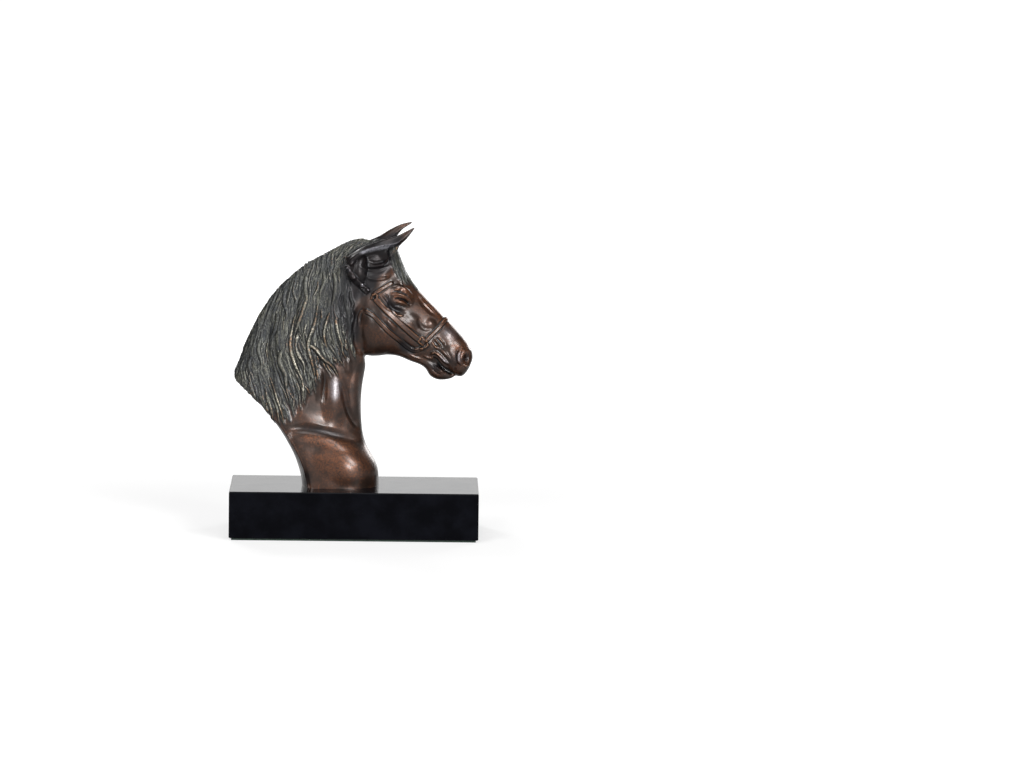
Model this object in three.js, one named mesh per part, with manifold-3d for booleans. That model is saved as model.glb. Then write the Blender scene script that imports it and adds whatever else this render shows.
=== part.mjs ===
// A bronze horse's head and neck on a stone plinth, in millimetres, +Z up.
// The horse looks along +X and its mane lies on its right side, at -Y.
// The origin is the centre of the felt's underside, where the statuette rests on a shelf.
import * as THREE from "three";
import { mergeVertices } from "three/addons/utils/BufferGeometryUtils.js";
import Module from "manifold-3d";

const wasm = await Module();
wasm.setup();

// Plinth and felt
const PLINTH_LENGTH = 150;
const PLINTH_DEPTH = 75;
const PLINTH_TOP = 29.5;
const PLINTH_ARRIS = 0.6;
const FELT_THICKNESS = 1.25;
const FELT_INSET = 1.5;

// Fixings: two M6 studs that stand in a bar across the casting's foot, each with a washer and a nut below
const STUD_X = [-19, 3];
const STUD_RADIUS = 3;
const STUD_HOLE_RADIUS = 3.4;
const STUD_GRIP_IN_BAR = 9;
const STUD_TIP_BELOW_NUT = 1.5;
const COUNTERBORE_RADIUS = 10.5;
const COUNTERBORE_DEPTH = 11.5;
const WASHER_RADIUS = 8.5;
const WASHER_THICKNESS = 1.6;
const NUT_ACROSS_FLATS = 10;
const NUT_HEIGHT = 5;
const RUNNING_GAP = 0.2;

// Casting
const WALL = 4;
const MANE_DEPTH = 2.2;
const BAR_WIDTH = 14;
const BAR_HEIGHT = 12;
const BAR_REACH = 3;
const EAR_Y = 11.5;

const BRONZE = new THREE.MeshStandardMaterial({ color: 0x4a2c1d, roughness: 0.38, metalness: 0.9 });
const STONE = new THREE.MeshStandardMaterial({ color: 0x0b0b0d, roughness: 0.16, metalness: 0 });
const STEEL = new THREE.MeshStandardMaterial({ color: 0xa9abac, roughness: 0.35, metalness: 1 });
const FELT = new THREE.MeshStandardMaterial({ color: 0x14201a, roughness: 0.95, metalness: 0 });

// The neck, from inside the head to the foot. Each row is one section: its upper point on the crest or
// the cut behind, its lower point on the throat, its half thickness, how much it thins towards the upper
// point, how square its upper end is, and how much of the mane's depth lies on it.
const NECK = [
  [[12, 178], [12, 132], 10.0, 0.5, 2.0, 0.0],
  [[0, 179.5], [5, 117], 12.0, 0.5, 2.0, 0.4],
  [[-10, 175.5], [4.5, 108.5], 12.5, 0.52, 2.0, 0.8],
  [[-20, 170], [5, 103], 13.0, 0.55, 2.0, 1.0],
  [[-30, 165], [4.8, 97], 13.3, 0.55, 2.0, 1.0],
  [[-40, 157], [4.2, 91], 13.6, 0.55, 2.0, 1.0],
  [[-50, 146.5], [3.6, 84.5], 13.8, 0.55, 2.0, 1.0],
  [[-58, 134.5], [3.3, 78], 14.0, 0.52, 2.0, 1.0],
  [[-65, 120.5], [3.6, 71], 14.3, 0.5, 2.1, 1.0],
  [[-70, 107], [4.3, 65], 14.6, 0.45, 2.2, 0.9],
  [[-72.8, 95.5], [5, 61], 15.0, 0.35, 2.6, 0.8],
  [[-66, 87.5], [6, 57], 15.5, 0.2, 3.4, 0.6],
  [[-56, 77.3], [7.5, 53], 16.2, 0.1, 4.2, 0.3],
  [[-47, 66.8], [9.5, 49], 17.0, 0.05, 4.6, 0.1],
  [[-40, 56.3], [12, 44.5], 18.0, 0, 4.8, 0],
  [[-35, 46.3], [13.6, 40], 19.0, 0, 4.8, 0],
  [[-32.3, 37], [14.5, 34.5], 19.8, 0, 4.8, 0],
  [[-31.5, PLINTH_TOP], [14.8, PLINTH_TOP], 20.0, 0, 4.8, 0],
];

// The head, from the poll to the upper lip: upper point on the forehead and nose, lower point on the
// cheek's edge, the jaw and the mouth, half thickness, thinning, squareness.
const HEAD = [
  [[12, 180], [-6, 158], 8, 0.3, 2.2],
  [[19, 178.3], [-3.5, 148], 11.5, 0.3, 2.3],
  [[24.8, 173.2], [-1.5, 137], 13.0, 0.25, 2.4],
  [[28.2, 165.5], [-0.5, 126], 14.2, 0.22, 2.5],
  [[30.8, 159], [1.5, 116], 15.0, 0.22, 2.5],
  [[34.5, 153.3], [6, 109.8], 15.0, 0.26, 2.5],
  [[39, 148], [13, 109], 14.0, 0.32, 2.4],
  [[43.5, 143], [20, 110], 12.6, 0.36, 2.4],
  [[48, 138.5], [27, 109.2], 11.2, 0.36, 2.4],
  [[52.5, 133.8], [33.5, 107.6], 10.0, 0.34, 2.4],
  [[57, 129.3], [39.5, 106.6], 9.2, 0.3, 2.4],
  [[61.5, 124.7], [46, 105], 9.0, 0.22, 2.4],
  [[65.5, 120.3], [51.5, 102.5], 9.3, 0.15, 2.4],
  [[68.7, 116.2], [56.5, 99.3], 9.7, 0.1, 2.4],
  [[70.7, 111.8], [60.3, 97], 9.4, 0.1, 2.3],
  [[71.2, 107], [63.5, 96], 8.2, 0.1, 2.2],
  [[69.8, 102.3], [66.3, 97.6], 5, 0, 2.0],
];

// The lower jaw, from under the cheek to the lower lip, in the same terms.
const JAW = [
  [[20, 122], [14, 110.3], 9.0, 0, 2.4],
  [[30, 117], [25, 109.6], 8.0, 0, 2.4],
  [[38, 112], [33.5, 106.3], 7.0, 0, 2.4],
  [[43, 109], [39.5, 104.4], 6.2, 0, 2.4],
  [[48, 106], [43.5, 101.8], 5.8, 0, 2.4],
  [[52, 103], [46, 97.5], 5.8, 0, 2.4],
  [[55.2, 100.4], [50, 94.8], 5.8, 0, 2.4],
  [[58, 98.2], [55, 94.6], 5.0, 0, 2.3],
  [[59.6, 96.7], [58.7, 95.5], 3.0, 0, 2.0],
];

// One ear, from its root on the head to its tip: centre in X and Z, its offset from EAR_Y towards the
// outside, half width across the ear, and half thickness.
const EAR = [
  [[4, 160], -2, 7.5, 4.0],
  [[8, 166.5], 0, 7.5, 4.5],
  [[15, 171.3], 1.5, 5.6, 4.2],
  [[21.5, 175.6], 2, 3.8, 3.2],
  [[27.5, 180], 1.5, 2.4, 2.0],
  [[32, 184.4], 0.5, 1.3, 1.0],
  [[34.4, 187.5], 0, 0.35, 0.35],
];

// ---- Geometry helpers ----

// Closes a stack of rings, each an array of the same number of points, into one solid.
function loft(rings) {
  const size = rings[0].length;
  const points = rings.flat();
  const faces = [];
  for (let r = 0; r + 1 < rings.length; r++) {
    for (let i = 0; i < size; i++) {
      const a = r * size + i;
      const b = r * size + ((i + 1) % size);
      faces.push(a, b, a + size, b, b + size, a + size);
    }
  }
  for (const [first, turn] of [[0, 1], [(rings.length - 1) * size, -1]]) {
    const centre = new THREE.Vector3();
    for (let i = 0; i < size; i++) centre.addScaledVector(points[first + i], 1 / size);
    const middle = points.push(centre) - 1;
    for (let i = 0; i < size; i++) {
      const a = first + i;
      const b = first + ((i + 1) % size);
      faces.push(...(turn > 0 ? [middle, b, a] : [middle, a, b]));
    }
  }
  const geometry = new THREE.BufferGeometry().setFromPoints(points);
  geometry.setIndex(faces);
  return geometry;
}

// A manifold solid from a closed geometry whose matrix has been applied. A loft may be wound either way.
function solid(geometry) {
  const plain = geometry.clone();
  plain.deleteAttribute("normal");
  plain.deleteAttribute("uv");
  const merged = mergeVertices(plain, 1e-4);
  const triVerts = new Uint32Array(merged.index.array);
  const vertProperties = merged.attributes.position.array;
  const made = new wasm.Manifold(new wasm.Mesh({ numProp: 3, vertProperties, triVerts }));
  if (made.volume() > 0) return made;
  for (let i = 0; i < triVerts.length; i += 3) {
    [triVerts[i + 1], triVerts[i + 2]] = [triVerts[i + 2], triVerts[i + 1]];
  }
  return new wasm.Manifold(new wasm.Mesh({ numProp: 3, vertProperties, triVerts }));
}

function geometryOf(manifold) {
  const { numProp, vertProperties, triVerts } = manifold.getMesh();
  const count = vertProperties.length / numProp;
  const position = new Float32Array(count * 3);
  for (let i = 0; i < count; i++) {
    position.set(vertProperties.subarray(i * numProp, i * numProp + 3), i * 3);
  }
  const geometry = new THREE.BufferGeometry();
  geometry.setAttribute("position", new THREE.BufferAttribute(position, 3));
  geometry.setIndex(new THREE.BufferAttribute(new Uint32Array(triVerts), 1));
  return geometry;
}

function mesh(name, geometry, material) {
  const made = new THREE.Mesh(geometry, material);
  made.name = name;
  return made;
}

// An upright cylinder from one height to another.
function post(x, radius, bottom, top, segments = 24) {
  const geometry = new THREE.CylinderGeometry(radius, radius, top - bottom, segments);
  return geometry.rotateX(Math.PI / 2).translate(x, 0, (bottom + top) / 2);
}

// ---- Casting ----

const power = (value, exponent) => Math.sign(value) * Math.abs(value) ** exponent;

// One section between an upper and a lower point in the XZ plane: a superellipse, thinned towards the
// upper point and grown by the mane's share on the -Y side. Inset makes the same section of the core.
function sectionRing(upper, lower, values, segments, inset) {
  const [half, thin, square, mane] = values;
  const middle = upper.clone().add(lower).multiplyScalar(0.5);
  const reach = upper.clone().sub(lower).multiplyScalar(0.5);
  const length = reach.length();
  reach.multiplyScalar(Math.max(length - inset, 0.2) / length);
  const ring = [];
  for (let i = 0; i < segments; i++) {
    const angle = (2 * Math.PI * i) / segments;
    const c = Math.cos(angle);
    const s = Math.sin(angle);
    const exponent = 2 / (c > 0 ? square : 2.3);
    const along = power(c, exponent);
    const across = power(s, exponent) * (1 - thin * Math.max(along, 0) ** 1.2);
    const depth = Math.max(half - inset, 0.2) + (across < 0 && !inset ? mane * MANE_DEPTH : 0);
    ring.push(middle.clone().addScaledVector(reach, along).setY(across * depth));
  }
  return ring;
}

// A body between two rails: each row's points are knots of the rails, and its numbers blend between rows.
function railBody(rows, steps, segments, inset = 0) {
  const rail = (k) => new THREE.CatmullRomCurve3(
    rows.map((row) => new THREE.Vector3(row[k][0], 0, row[k][1])), false, "centripetal");
  const upper = rail(0);
  const lower = rail(1);
  const rings = [];
  for (let i = 0; i <= steps; i++) {
    const t = i / steps;
    const place = t * (rows.length - 1);
    const before = Math.min(Math.floor(place), rows.length - 2);
    const blend = (k) => THREE.MathUtils.lerp(
      rows[before][k] ?? 0, rows[before + 1][k] ?? 0, place - before);
    const values = [blend(2), blend(3), blend(4), blend(5)];
    rings.push(sectionRing(upper.getPoint(t), lower.getPoint(t), values, segments, inset));
  }
  return loft(rings);
}

// An ear is a leaf of oval sections, square to the line of its centres.
function earBody(side, segments = 12) {
  const centres = EAR.map(([[x, z], out]) => new THREE.Vector3(x, side * (EAR_Y + out), z));
  const rings = EAR.map(([, , width, depth], i) => {
    const ahead = centres[Math.min(i + 1, centres.length - 1)];
    const behind = centres[Math.max(i - 1, 0)];
    const along = ahead.clone().sub(behind).normalize();
    const across = new THREE.Vector3(0, 1, 0).cross(along).normalize();
    const out = along.clone().cross(across);
    return Array.from({ length: segments }, (_, k) => {
      const angle = (2 * Math.PI * k) / segments;
      return centres[i].clone()
        .addScaledVector(across, width * Math.cos(angle))
        .addScaledVector(out, depth * Math.sin(angle));
    });
  });
  return loft(rings);
}

// The hollow inside the neck: the neck's own sections drawn in by the wall, open through the foot.
function core() {
  const rows = NECK.slice(4).map(([upper, lower, ...numbers]) => [upper, lower, ...numbers]);
  const foot = rows.at(-1);
  rows.push([[foot[0][0], PLINTH_TOP - 4], [foot[1][0], PLINTH_TOP - 4], ...foot.slice(2)]);
  return railBody(rows, 18, 16, WALL);
}

function horseCasting() {
  const outer = solid(railBody(NECK, 40, 28))
    .add(solid(railBody(HEAD, 34, 26)))
    .add(solid(railBody(JAW, 16, 16)))
    .add(solid(earBody(-1)))
    .add(solid(earBody(1)));
  const footBack = NECK.at(-1)[0][0] + BAR_REACH;
  const footFront = NECK.at(-1)[1][0] - BAR_REACH;
  const bar = new THREE.BoxGeometry(footFront - footBack, BAR_WIDTH, BAR_HEIGHT)
    .translate((footFront + footBack) / 2, 0, PLINTH_TOP + BAR_HEIGHT / 2);
  let casting = outer.subtract(solid(core())).add(solid(bar));
  for (const x of STUD_X) {
    const tapped = post(x, STUD_RADIUS + RUNNING_GAP, PLINTH_TOP - 2, PLINTH_TOP + STUD_GRIP_IN_BAR + 1);
    casting = casting.subtract(solid(tapped));
  }
  return geometryOf(casting);
}

// ---- Plinth, felt and fixings ----

function slab(length, depth, bottom, top, arris) {
  const shape = new THREE.Shape();
  const x = length / 2 - arris;
  const y = depth / 2 - arris;
  shape.moveTo(-x, -y).lineTo(x, -y).lineTo(x, y).lineTo(-x, y).closePath();
  const geometry = new THREE.ExtrudeGeometry(shape, {
    depth: top - bottom - 2 * arris,
    bevelEnabled: arris > 0,
    bevelSize: arris,
    bevelThickness: arris,
    bevelSegments: 1,
  });
  return geometry.translate(0, 0, bottom + arris);
}

function plinthBlock() {
  let block = solid(slab(PLINTH_LENGTH, PLINTH_DEPTH, FELT_THICKNESS, PLINTH_TOP, PLINTH_ARRIS));
  for (const x of STUD_X) {
    block = block
      .subtract(solid(post(x, STUD_HOLE_RADIUS, 0, PLINTH_TOP + 1)))
      .subtract(solid(post(x, COUNTERBORE_RADIUS, 0, FELT_THICKNESS + COUNTERBORE_DEPTH, 32)));
  }
  return geometryOf(block);
}

const CEILING = FELT_THICKNESS + COUNTERBORE_DEPTH;
const NUT_TOP = CEILING - WASHER_THICKNESS;
const NUT_BOTTOM = NUT_TOP - NUT_HEIGHT;

function ringOf(x, outerRadius, bottom, top, segments) {
  const bored = solid(post(x, outerRadius, bottom, top, segments))
    .subtract(solid(post(x, STUD_RADIUS + RUNNING_GAP, bottom - 1, top + 1)));
  return geometryOf(bored);
}

function fixings(x, place) {
  const stud = post(x, STUD_RADIUS, NUT_BOTTOM - STUD_TIP_BELOW_NUT, PLINTH_TOP + STUD_GRIP_IN_BAR);
  const washer = ringOf(x, WASHER_RADIUS, NUT_TOP, CEILING, 32);
  const nut = ringOf(x, NUT_ACROSS_FLATS / Math.sqrt(3), NUT_BOTTOM, NUT_TOP, 6);
  return [
    mesh("stud_" + place, stud, STEEL),
    mesh("washer_" + place, washer, STEEL),
    mesh("nut_" + place, nut, STEEL),
  ];
}

// ---- Assembly ----

const statuette = new THREE.Group();
statuette.add(mesh("horse_casting", horseCasting(), BRONZE));
statuette.add(mesh("plinth", plinthBlock(), STONE));
const feltLength = PLINTH_LENGTH - 2 * FELT_INSET;
const feltDepth = PLINTH_DEPTH - 2 * FELT_INSET;
statuette.add(mesh("felt_pad", slab(feltLength, feltDepth, 0, FELT_THICKNESS, 0), FELT));
statuette.add(...fixings(STUD_X[0], "rear"), ...fixings(STUD_X[1], "front"));

export default statuette;
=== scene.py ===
"""The looks of the bronze horse's head on its stone plinth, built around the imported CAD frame.

Shapes are worked out in millimetres in the frame's own axes: the horse looks along +X, its mane hangs on
its right side at -Y (the near side), and +Z is up. The casting is made in three steps. Lofts give the
masses of the neck, head and jaw, and thick curved sheets give the ears. A voxel remesh joins them. Then two
relief maps, one for each side, raise and sink the muscles, bridle, eyes, lips and hair on the joined skin.
"""

import math

import bpy
import numpy as np
from mathutils import Euler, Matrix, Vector


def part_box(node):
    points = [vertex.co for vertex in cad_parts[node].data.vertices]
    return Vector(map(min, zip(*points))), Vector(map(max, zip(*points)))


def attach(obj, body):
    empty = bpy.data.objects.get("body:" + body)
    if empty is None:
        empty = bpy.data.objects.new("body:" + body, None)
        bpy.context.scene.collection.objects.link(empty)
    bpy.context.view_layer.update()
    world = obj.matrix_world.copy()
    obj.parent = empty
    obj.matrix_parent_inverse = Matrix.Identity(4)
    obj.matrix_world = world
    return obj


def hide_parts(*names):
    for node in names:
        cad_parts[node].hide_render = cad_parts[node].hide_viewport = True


MM = 0.001
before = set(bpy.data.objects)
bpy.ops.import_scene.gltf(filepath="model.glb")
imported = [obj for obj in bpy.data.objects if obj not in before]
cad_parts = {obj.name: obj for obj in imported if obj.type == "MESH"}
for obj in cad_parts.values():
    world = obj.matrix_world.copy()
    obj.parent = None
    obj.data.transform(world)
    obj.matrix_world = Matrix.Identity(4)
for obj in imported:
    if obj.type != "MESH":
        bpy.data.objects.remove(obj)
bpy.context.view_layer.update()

PLINTH_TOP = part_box("plinth")[1].z / MM
CASTING_FLOOR = PLINTH_TOP - 0.2
NEAR, FAR = -1, 1

# ---------------------------------------------------------------- masses of the casting, in mm

# The neck, from inside the head to the foot. Each row is one section: its upper point on the crest or on
# the cut behind, its lower point on the throat, its half thickness, how much it thins towards the upper
# point, how square its upper end is, and how far the cut's near and far edges are set in from its middle.
NECK = [
    ((12, 177), (12, 132), 10.0, 0.50, 2.0, 0, 0),
    ((0, 178.4), (5, 117), 11.5, 0.50, 2.0, 0, 0),
    ((-9.6, 174.7), (5.2, 108), 12.0, 0.52, 2.0, 0, 0),
    ((-19.5, 169.2), (6, 103), 12.5, 0.55, 2.0, 0, 0),
    ((-29.5, 164.1), (5.2, 97), 13.0, 0.55, 2.0, 0, 0),
    ((-39.4, 156.3), (4.2, 91), 13.4, 0.55, 2.0, 0, 0),
    ((-49.3, 145.9), (3.6, 84.5), 13.8, 0.55, 2.0, 0, 0),
    ((-57.2, 134), (3.3, 78), 14.0, 0.52, 2.0, 0, 0),
    ((-64.1, 120.2), (3.5, 71), 14.3, 0.50, 2.1, 0, 0),
    ((-69.2, 106.8), (4.2, 65), 14.6, 0.45, 2.4, 0, 0),
    ((-72.5, 95.3), (4.8, 61), 15.0, 0.35, 4.0, 1, 2),
    ((-66, 87.5), (5.8, 57), 15.5, 0.20, 7.0, 2.5, 6),
    ((-56.4, 77.1), (7.3, 53), 16.2, 0.10, 9.0, 3, 8),
    ((-47.7, 66.5), (9.3, 49), 17.0, 0.05, 9.0, 3, 8),
    ((-40.9, 56), (11.7, 44.5), 18.0, 0, 9.0, 3, 7.5),
    ((-36, 46.2), (13.3, 40), 19.0, 0, 9.0, 3.5, 6),
    ((-33.2, 37), (14.2, 34.5), 19.8, 0, 9.0, 4, 4.5),
    ((-32, 29.5), (14.6, 29.5), 20.0, 0, 9.0, 4.5, 3.5),
    ((-31.9, 25), (14.7, 25), 20.0, 0, 9.0, 4.5, 3.5),
]

# The head, from the poll to the upper lip: upper point on the forehead and nose, lower point on the
# cheek's edge, the jaw and the mouth, half thickness, thinning, squareness. It has no cut, so no set-in.
HEAD = [
    ((12, 179), (-6, 158), 8.0, 0.30, 2.2),
    ((18.5, 177.6), (-3.5, 148), 11.5, 0.30, 2.3),
    ((23.6, 172.6), (-1.5, 137), 13.0, 0.25, 2.4),
    ((26.8, 165), (-0.5, 126), 14.2, 0.22, 2.5),
    ((29.7, 158.6), (1.5, 116), 15.0, 0.22, 2.5),
    ((33.8, 152.8), (6, 109), 15.0, 0.26, 2.5),
    ((38.6, 147.6), (13, 108.3), 14.0, 0.32, 2.4),
    ((43.2, 142.6), (20, 109.2), 12.6, 0.36, 2.4),
    ((47.7, 138.1), (27, 108.4), 11.2, 0.36, 2.4),
    ((52.2, 133.4), (33.5, 106.8), 10.0, 0.34, 2.4),
    ((56.7, 129), (39.5, 105.8), 9.2, 0.30, 2.4),
    ((61.1, 124.4), (46, 104.6), 9.0, 0.22, 2.4),
    ((65, 120), (51.5, 102.3), 9.3, 0.15, 2.4),
    ((68.1, 115.9), (56.5, 99.2), 9.7, 0.10, 2.4),
    ((70, 111.6), (60.3, 97), 9.4, 0.10, 2.3),
    ((70.4, 107), (63.5, 96.2), 8.2, 0.10, 2.2),
    ((69.1, 102.6), (66, 97.8), 5.0, 0, 2.0),
]

# The lower jaw, from under the cheek to the lower lip, in the head's terms.
JAW = [
    ((20, 122), (14, 109.2), 9.0, 0, 2.4),
    ((30, 117), (25, 108.5), 8.0, 0, 2.4),
    ((38, 112), (33.2, 105.3), 7.0, 0, 2.4),
    ((43, 109), (38.8, 103.3), 6.2, 0, 2.4),
    ((48, 106), (42.4, 100.7), 5.8, 0, 2.4),
    ((52, 103), (44.8, 96.7), 5.8, 0, 2.4),
    ((55.2, 100.4), (49.4, 94.3), 5.8, 0, 2.4),
    ((58, 98.2), (55, 94.4), 5.0, 0, 2.3),
    ((59.8, 96.7), (58.8, 95.4), 3.0, 0, 2.0),
]

# An ear is a sheet rolled like a hood. Each line runs from its root to its tip through points
# (x, outwards, z): first the outer rim, then the top of the fold, the inner side and the front rim.
NEAR_EAR = [
    [(-4.5, 15.5, 165), (3, 17.6, 172), (14, 17.4, 176), (24, 15.8, 178), (30, 13.9, 182.2),
     (34.8, 12, 187.2)],
    [(-6, 9.5, 168), (4, 12.5, 174.6), (14.5, 13.2, 178.9), (24.5, 13.2, 182), (30, 12.8, 184.9),
     (34.8, 12, 187.5)],
    [(-2, 7, 163), (8, 7.5, 169), (16, 9, 174.5), (24, 10.8, 178.7), (30, 11.6, 182.9),
     (34.8, 12, 187.3)],
    [(12, 9, 158), (17, 10, 164), (21, 11, 170.5), (25.5, 12.2, 176.2), (30, 12.7, 180.9),
     (34.8, 12, 187)],
]
FAR_EAR = [
    [(-4.5, 15.5, 165), (4, 17.2, 172), (14.5, 16.8, 174.8), (22, 15.4, 178.4), (27, 13.8, 183.8),
     (33.4, 12, 188.3)],
    [(-6, 9.5, 168), (4, 12, 174.6), (13.5, 12.6, 179.2), (20, 12.6, 183.3), (27, 12.4, 186.8),
     (33.4, 12, 188.6)],
    [(-2, 7, 163), (8, 7.5, 170), (16, 8.6, 176), (22, 10, 181.2), (27.5, 11.2, 185.4),
     (33.4, 12, 188.4)],
    [(12, 9, 158), (17, 10, 164), (21, 10.6, 171.5), (23.5, 11.6, 179.2), (27.6, 12.4, 184.6),
     (33.4, 12, 188.2)],
]
EAR_THICKNESS = (2.0, 1.8, 1.6, 1.4, 1.2, 0.8)


# ---------------------------------------------------------------- curves and closed bodies

def through(knots, count):
    """Points of a smooth curve through the knots (centripetal Catmull-Rom), as many as asked."""
    knots = np.asarray(knots, float)
    gaps = np.sqrt(np.maximum(np.linalg.norm(np.diff(knots, axis=0), axis=1), 1e-6))
    time = np.concatenate([[0], np.cumsum(gaps)])
    slopes = np.diff(knots, axis=0) / gaps[:, None]
    tangents = np.empty_like(knots)
    tangents[0], tangents[-1] = slopes[0], slopes[-1]
    share = (gaps[1:] / (gaps[1:] + gaps[:-1]))[:, None]
    tangents[1:-1] = slopes[:-1] * share + slopes[1:] * (1 - share)
    where = np.linspace(0, time[-1], count)
    k = np.clip(np.searchsorted(time, where, side="right") - 1, 0, len(gaps) - 1)
    h = gaps[k][:, None]
    u = (where - time[k])[:, None] / h
    return (
        (2 * u**3 - 3 * u**2 + 1) * knots[k]
        + (u**3 - 2 * u**2 + u) * h * tangents[k]
        + (3 * u**2 - 2 * u**3) * knots[k + 1]
        + (u**3 - u**2) * h * tangents[k + 1]
    )


def tube_faces(rings, size):
    """Quads between rings of the same size, and a fan at each end round one extra point."""
    faces = []
    for r in range(rings - 1):
        for i in range(size):
            j = (i + 1) % size
            faces.append((r * size + i, r * size + j, (r + 1) * size + j, (r + 1) * size + i))
    last = (rings - 1) * size
    for i in range(size):
        j = (i + 1) % size
        faces.append((rings * size, j, i))
        faces.append((rings * size + 1, last + i, last + j))
    return faces


def section(row, segments):
    """One ring of a mass: a superellipse between its two points, thinned towards the upper one."""
    ux, uz, lx, lz, half, thin, square, set_near, set_far = row
    samples, lower_square = 1200, 2.3
    angle = np.linspace(0, 2 * math.pi, samples, endpoint=False)
    c, s = np.cos(angle), np.sin(angle)
    power = 2 / np.where(c > 0, square, lower_square)
    along = np.sign(c) * np.abs(c) ** power
    across = np.sign(s) * np.abs(s) ** power
    back = np.maximum(along, 0)
    reach = math.hypot(ux - lx, uz - lz) / 2
    ring = np.stack([along * reach, across * half], axis=1)
    steps = np.linalg.norm(np.roll(ring, -1, axis=0) - ring, axis=1)
    walked = np.concatenate([[0], np.cumsum(steps)[:-1]])
    even = np.interp(np.arange(segments) / segments * steps.sum(), walked, np.arange(samples)).astype(int)
    along, across, back = along[even], across[even], back[even]
    set_in = np.where(across < 0, set_near, set_far) * across**2 * back**4
    across = across * (1 - thin * back**1.2)
    along = along - set_in / reach
    x = (ux + lx) / 2 + along * (ux - lx) / 2
    z = (uz + lz) / 2 + along * (uz - lz) / 2
    return np.stack([x, across * half, z], axis=1)


def mass(rows, steps, segments=96):
    """A closed body through the sections that the rows describe. What a row leaves out at its end is 0."""
    flat = [[*row[0], *row[1], *row[2:], *([0] * (len(NECK[0]) - len(row)))] for row in rows]
    rings = [section(row, segments) for row in through(flat, steps)]
    points = np.concatenate([*rings, [rings[0].mean(0)], [rings[-1].mean(0)]])
    return points, tube_faces(steps, segments)


def thick_sheet(grid, thickness):
    """A closed body round a sheet given as rows of points, with a thickness for each column."""
    du = np.gradient(grid, axis=0)
    dv = np.gradient(grid, axis=1)
    normal = np.cross(du, dv)
    normal /= np.maximum(np.linalg.norm(normal, axis=2, keepdims=True), 1e-9)
    offset = normal * (np.asarray(thickness)[None, :, None] / 2)
    rows, columns = grid.shape[:2]
    points = np.concatenate([(grid + offset).reshape(-1, 3), (grid - offset).reshape(-1, 3)])
    size = rows * columns
    faces = []
    for i in range(rows - 1):
        for j in range(columns - 1):
            a = i * columns + j
            b = a + columns
            faces.append((a, b, b + 1, a + 1))
            faces.append((a + size, a + 1 + size, b + 1 + size, b + size))
    rim = [(0, j) for j in range(columns)] + [(i, columns - 1) for i in range(1, rows)]
    rim += [(rows - 1, j) for j in range(columns - 2, -1, -1)] + [(i, 0) for i in range(rows - 2, 0, -1)]
    loop = [i * columns + j for i, j in rim]
    for a, b in zip(loop, loop[1:] + loop[:1]):
        faces.append((a, b, b + size, a + size))
    return points, faces


def swept(path, radii, sides=12):
    """A closed round rod along a smooth path of (x, y, z) knots, with a radius for each knot."""
    knots = np.concatenate([np.asarray(path, float), np.asarray(radii, float)[:, None]], axis=1)
    length = np.linalg.norm(np.diff(knots[:, :3], axis=0), axis=1).sum()
    line = through(knots, max(6, int(length / 0.8)))
    centre, radius = line[:, :3], line[:, 3]
    ahead = np.gradient(centre, axis=0)
    ahead /= np.linalg.norm(ahead, axis=1, keepdims=True)
    side = np.cross(ahead, (0.13, 0.97, 0.2))
    side /= np.linalg.norm(side, axis=1, keepdims=True)
    up = np.cross(side, ahead)
    angle = np.linspace(0, 2 * math.pi, sides, endpoint=False)
    ring = side[:, None] * np.cos(angle)[None, :, None] + up[:, None] * np.sin(angle)[None, :, None]
    points = (centre[:, None] + ring * radius[:, None, None]).reshape(-1, 3)
    return np.concatenate([points, centre[:1], centre[-1:]]), tube_faces(len(centre), sides)


def ear(knots, side):
    """One ear: its lines are made smooth along the ear, then across it, and the sheet is thickened."""
    columns, rows = 44, 26
    lines = [through([(x, side * out, z) for x, out, z in line], columns) for line in knots]
    across = np.stack([through([line[j] for line in lines], rows) for j in range(columns)], axis=1)
    thickness = through([(t, 0) for t in EAR_THICKNESS], columns)[:, 0]
    return thick_sheet(across, thickness)


def ear_rim(side):
    """The thick rounded edge at the back of an ear, which curves down to its root on the cheek."""
    path = [(6, 17, 173), (0, 15.6, 169.8), (-3.4, 14, 165.6), (-3.4, 12.8, 161.2)]
    path += [(-0.5, 11.6, 157.2), (4, 10.6, 153.5)]
    radii = (0.9, 1.7, 2.2, 2.5, 2.6, 2.0)
    return swept([(x, side * out, z) for x, out, z in path], radii)


def ear_back(side):
    """The rounded back of an ear, which fills the space between its rim and the head."""
    middle, radii = np.array([1.5, side * 8.2, 161.5]), np.array([6.4, 7.0, 10.5])
    rings, segments = 16, 24
    angle = np.linspace(0, 2 * math.pi, segments, endpoint=False)
    rows = []
    for tilt in np.linspace(-1.4, 1.4, rings):
        ring = np.stack([np.cos(angle), np.sin(angle), np.full(segments, math.tan(tilt))], axis=1)
        rows.append(middle + radii * ring / np.linalg.norm(ring, axis=1, keepdims=True))
    ends = [middle - radii * (0, 0, 1), middle + radii * (0, 0, 1)]
    return np.concatenate([*rows, ends]), tube_faces(rings, segments)


# ---------------------------------------------------------------- joining and smoothing

def added(name, data):
    """A new object in the scene that shows a mesh, a light or a camera."""
    made = bpy.data.objects.new(name, data)
    bpy.context.scene.collection.objects.link(made)
    return made


def mesh_from(name, points, faces):
    """A mesh from points in mm."""
    mesh = bpy.data.meshes.new(name)
    mesh.from_pydata((np.asarray(points) * MM).tolist(), [], [tuple(int(i) for i in f) for f in faces])
    mesh.update()
    return mesh


def joined(bodies):
    """Several bodies' points and faces as one list of each."""
    points, faces, count = [], [], 0
    for p, f in bodies:
        points.append(np.asarray(p, float))
        faces += [tuple(i + count for i in face) for face in f]
        count += len(p)
    return np.concatenate(points), faces


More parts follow.
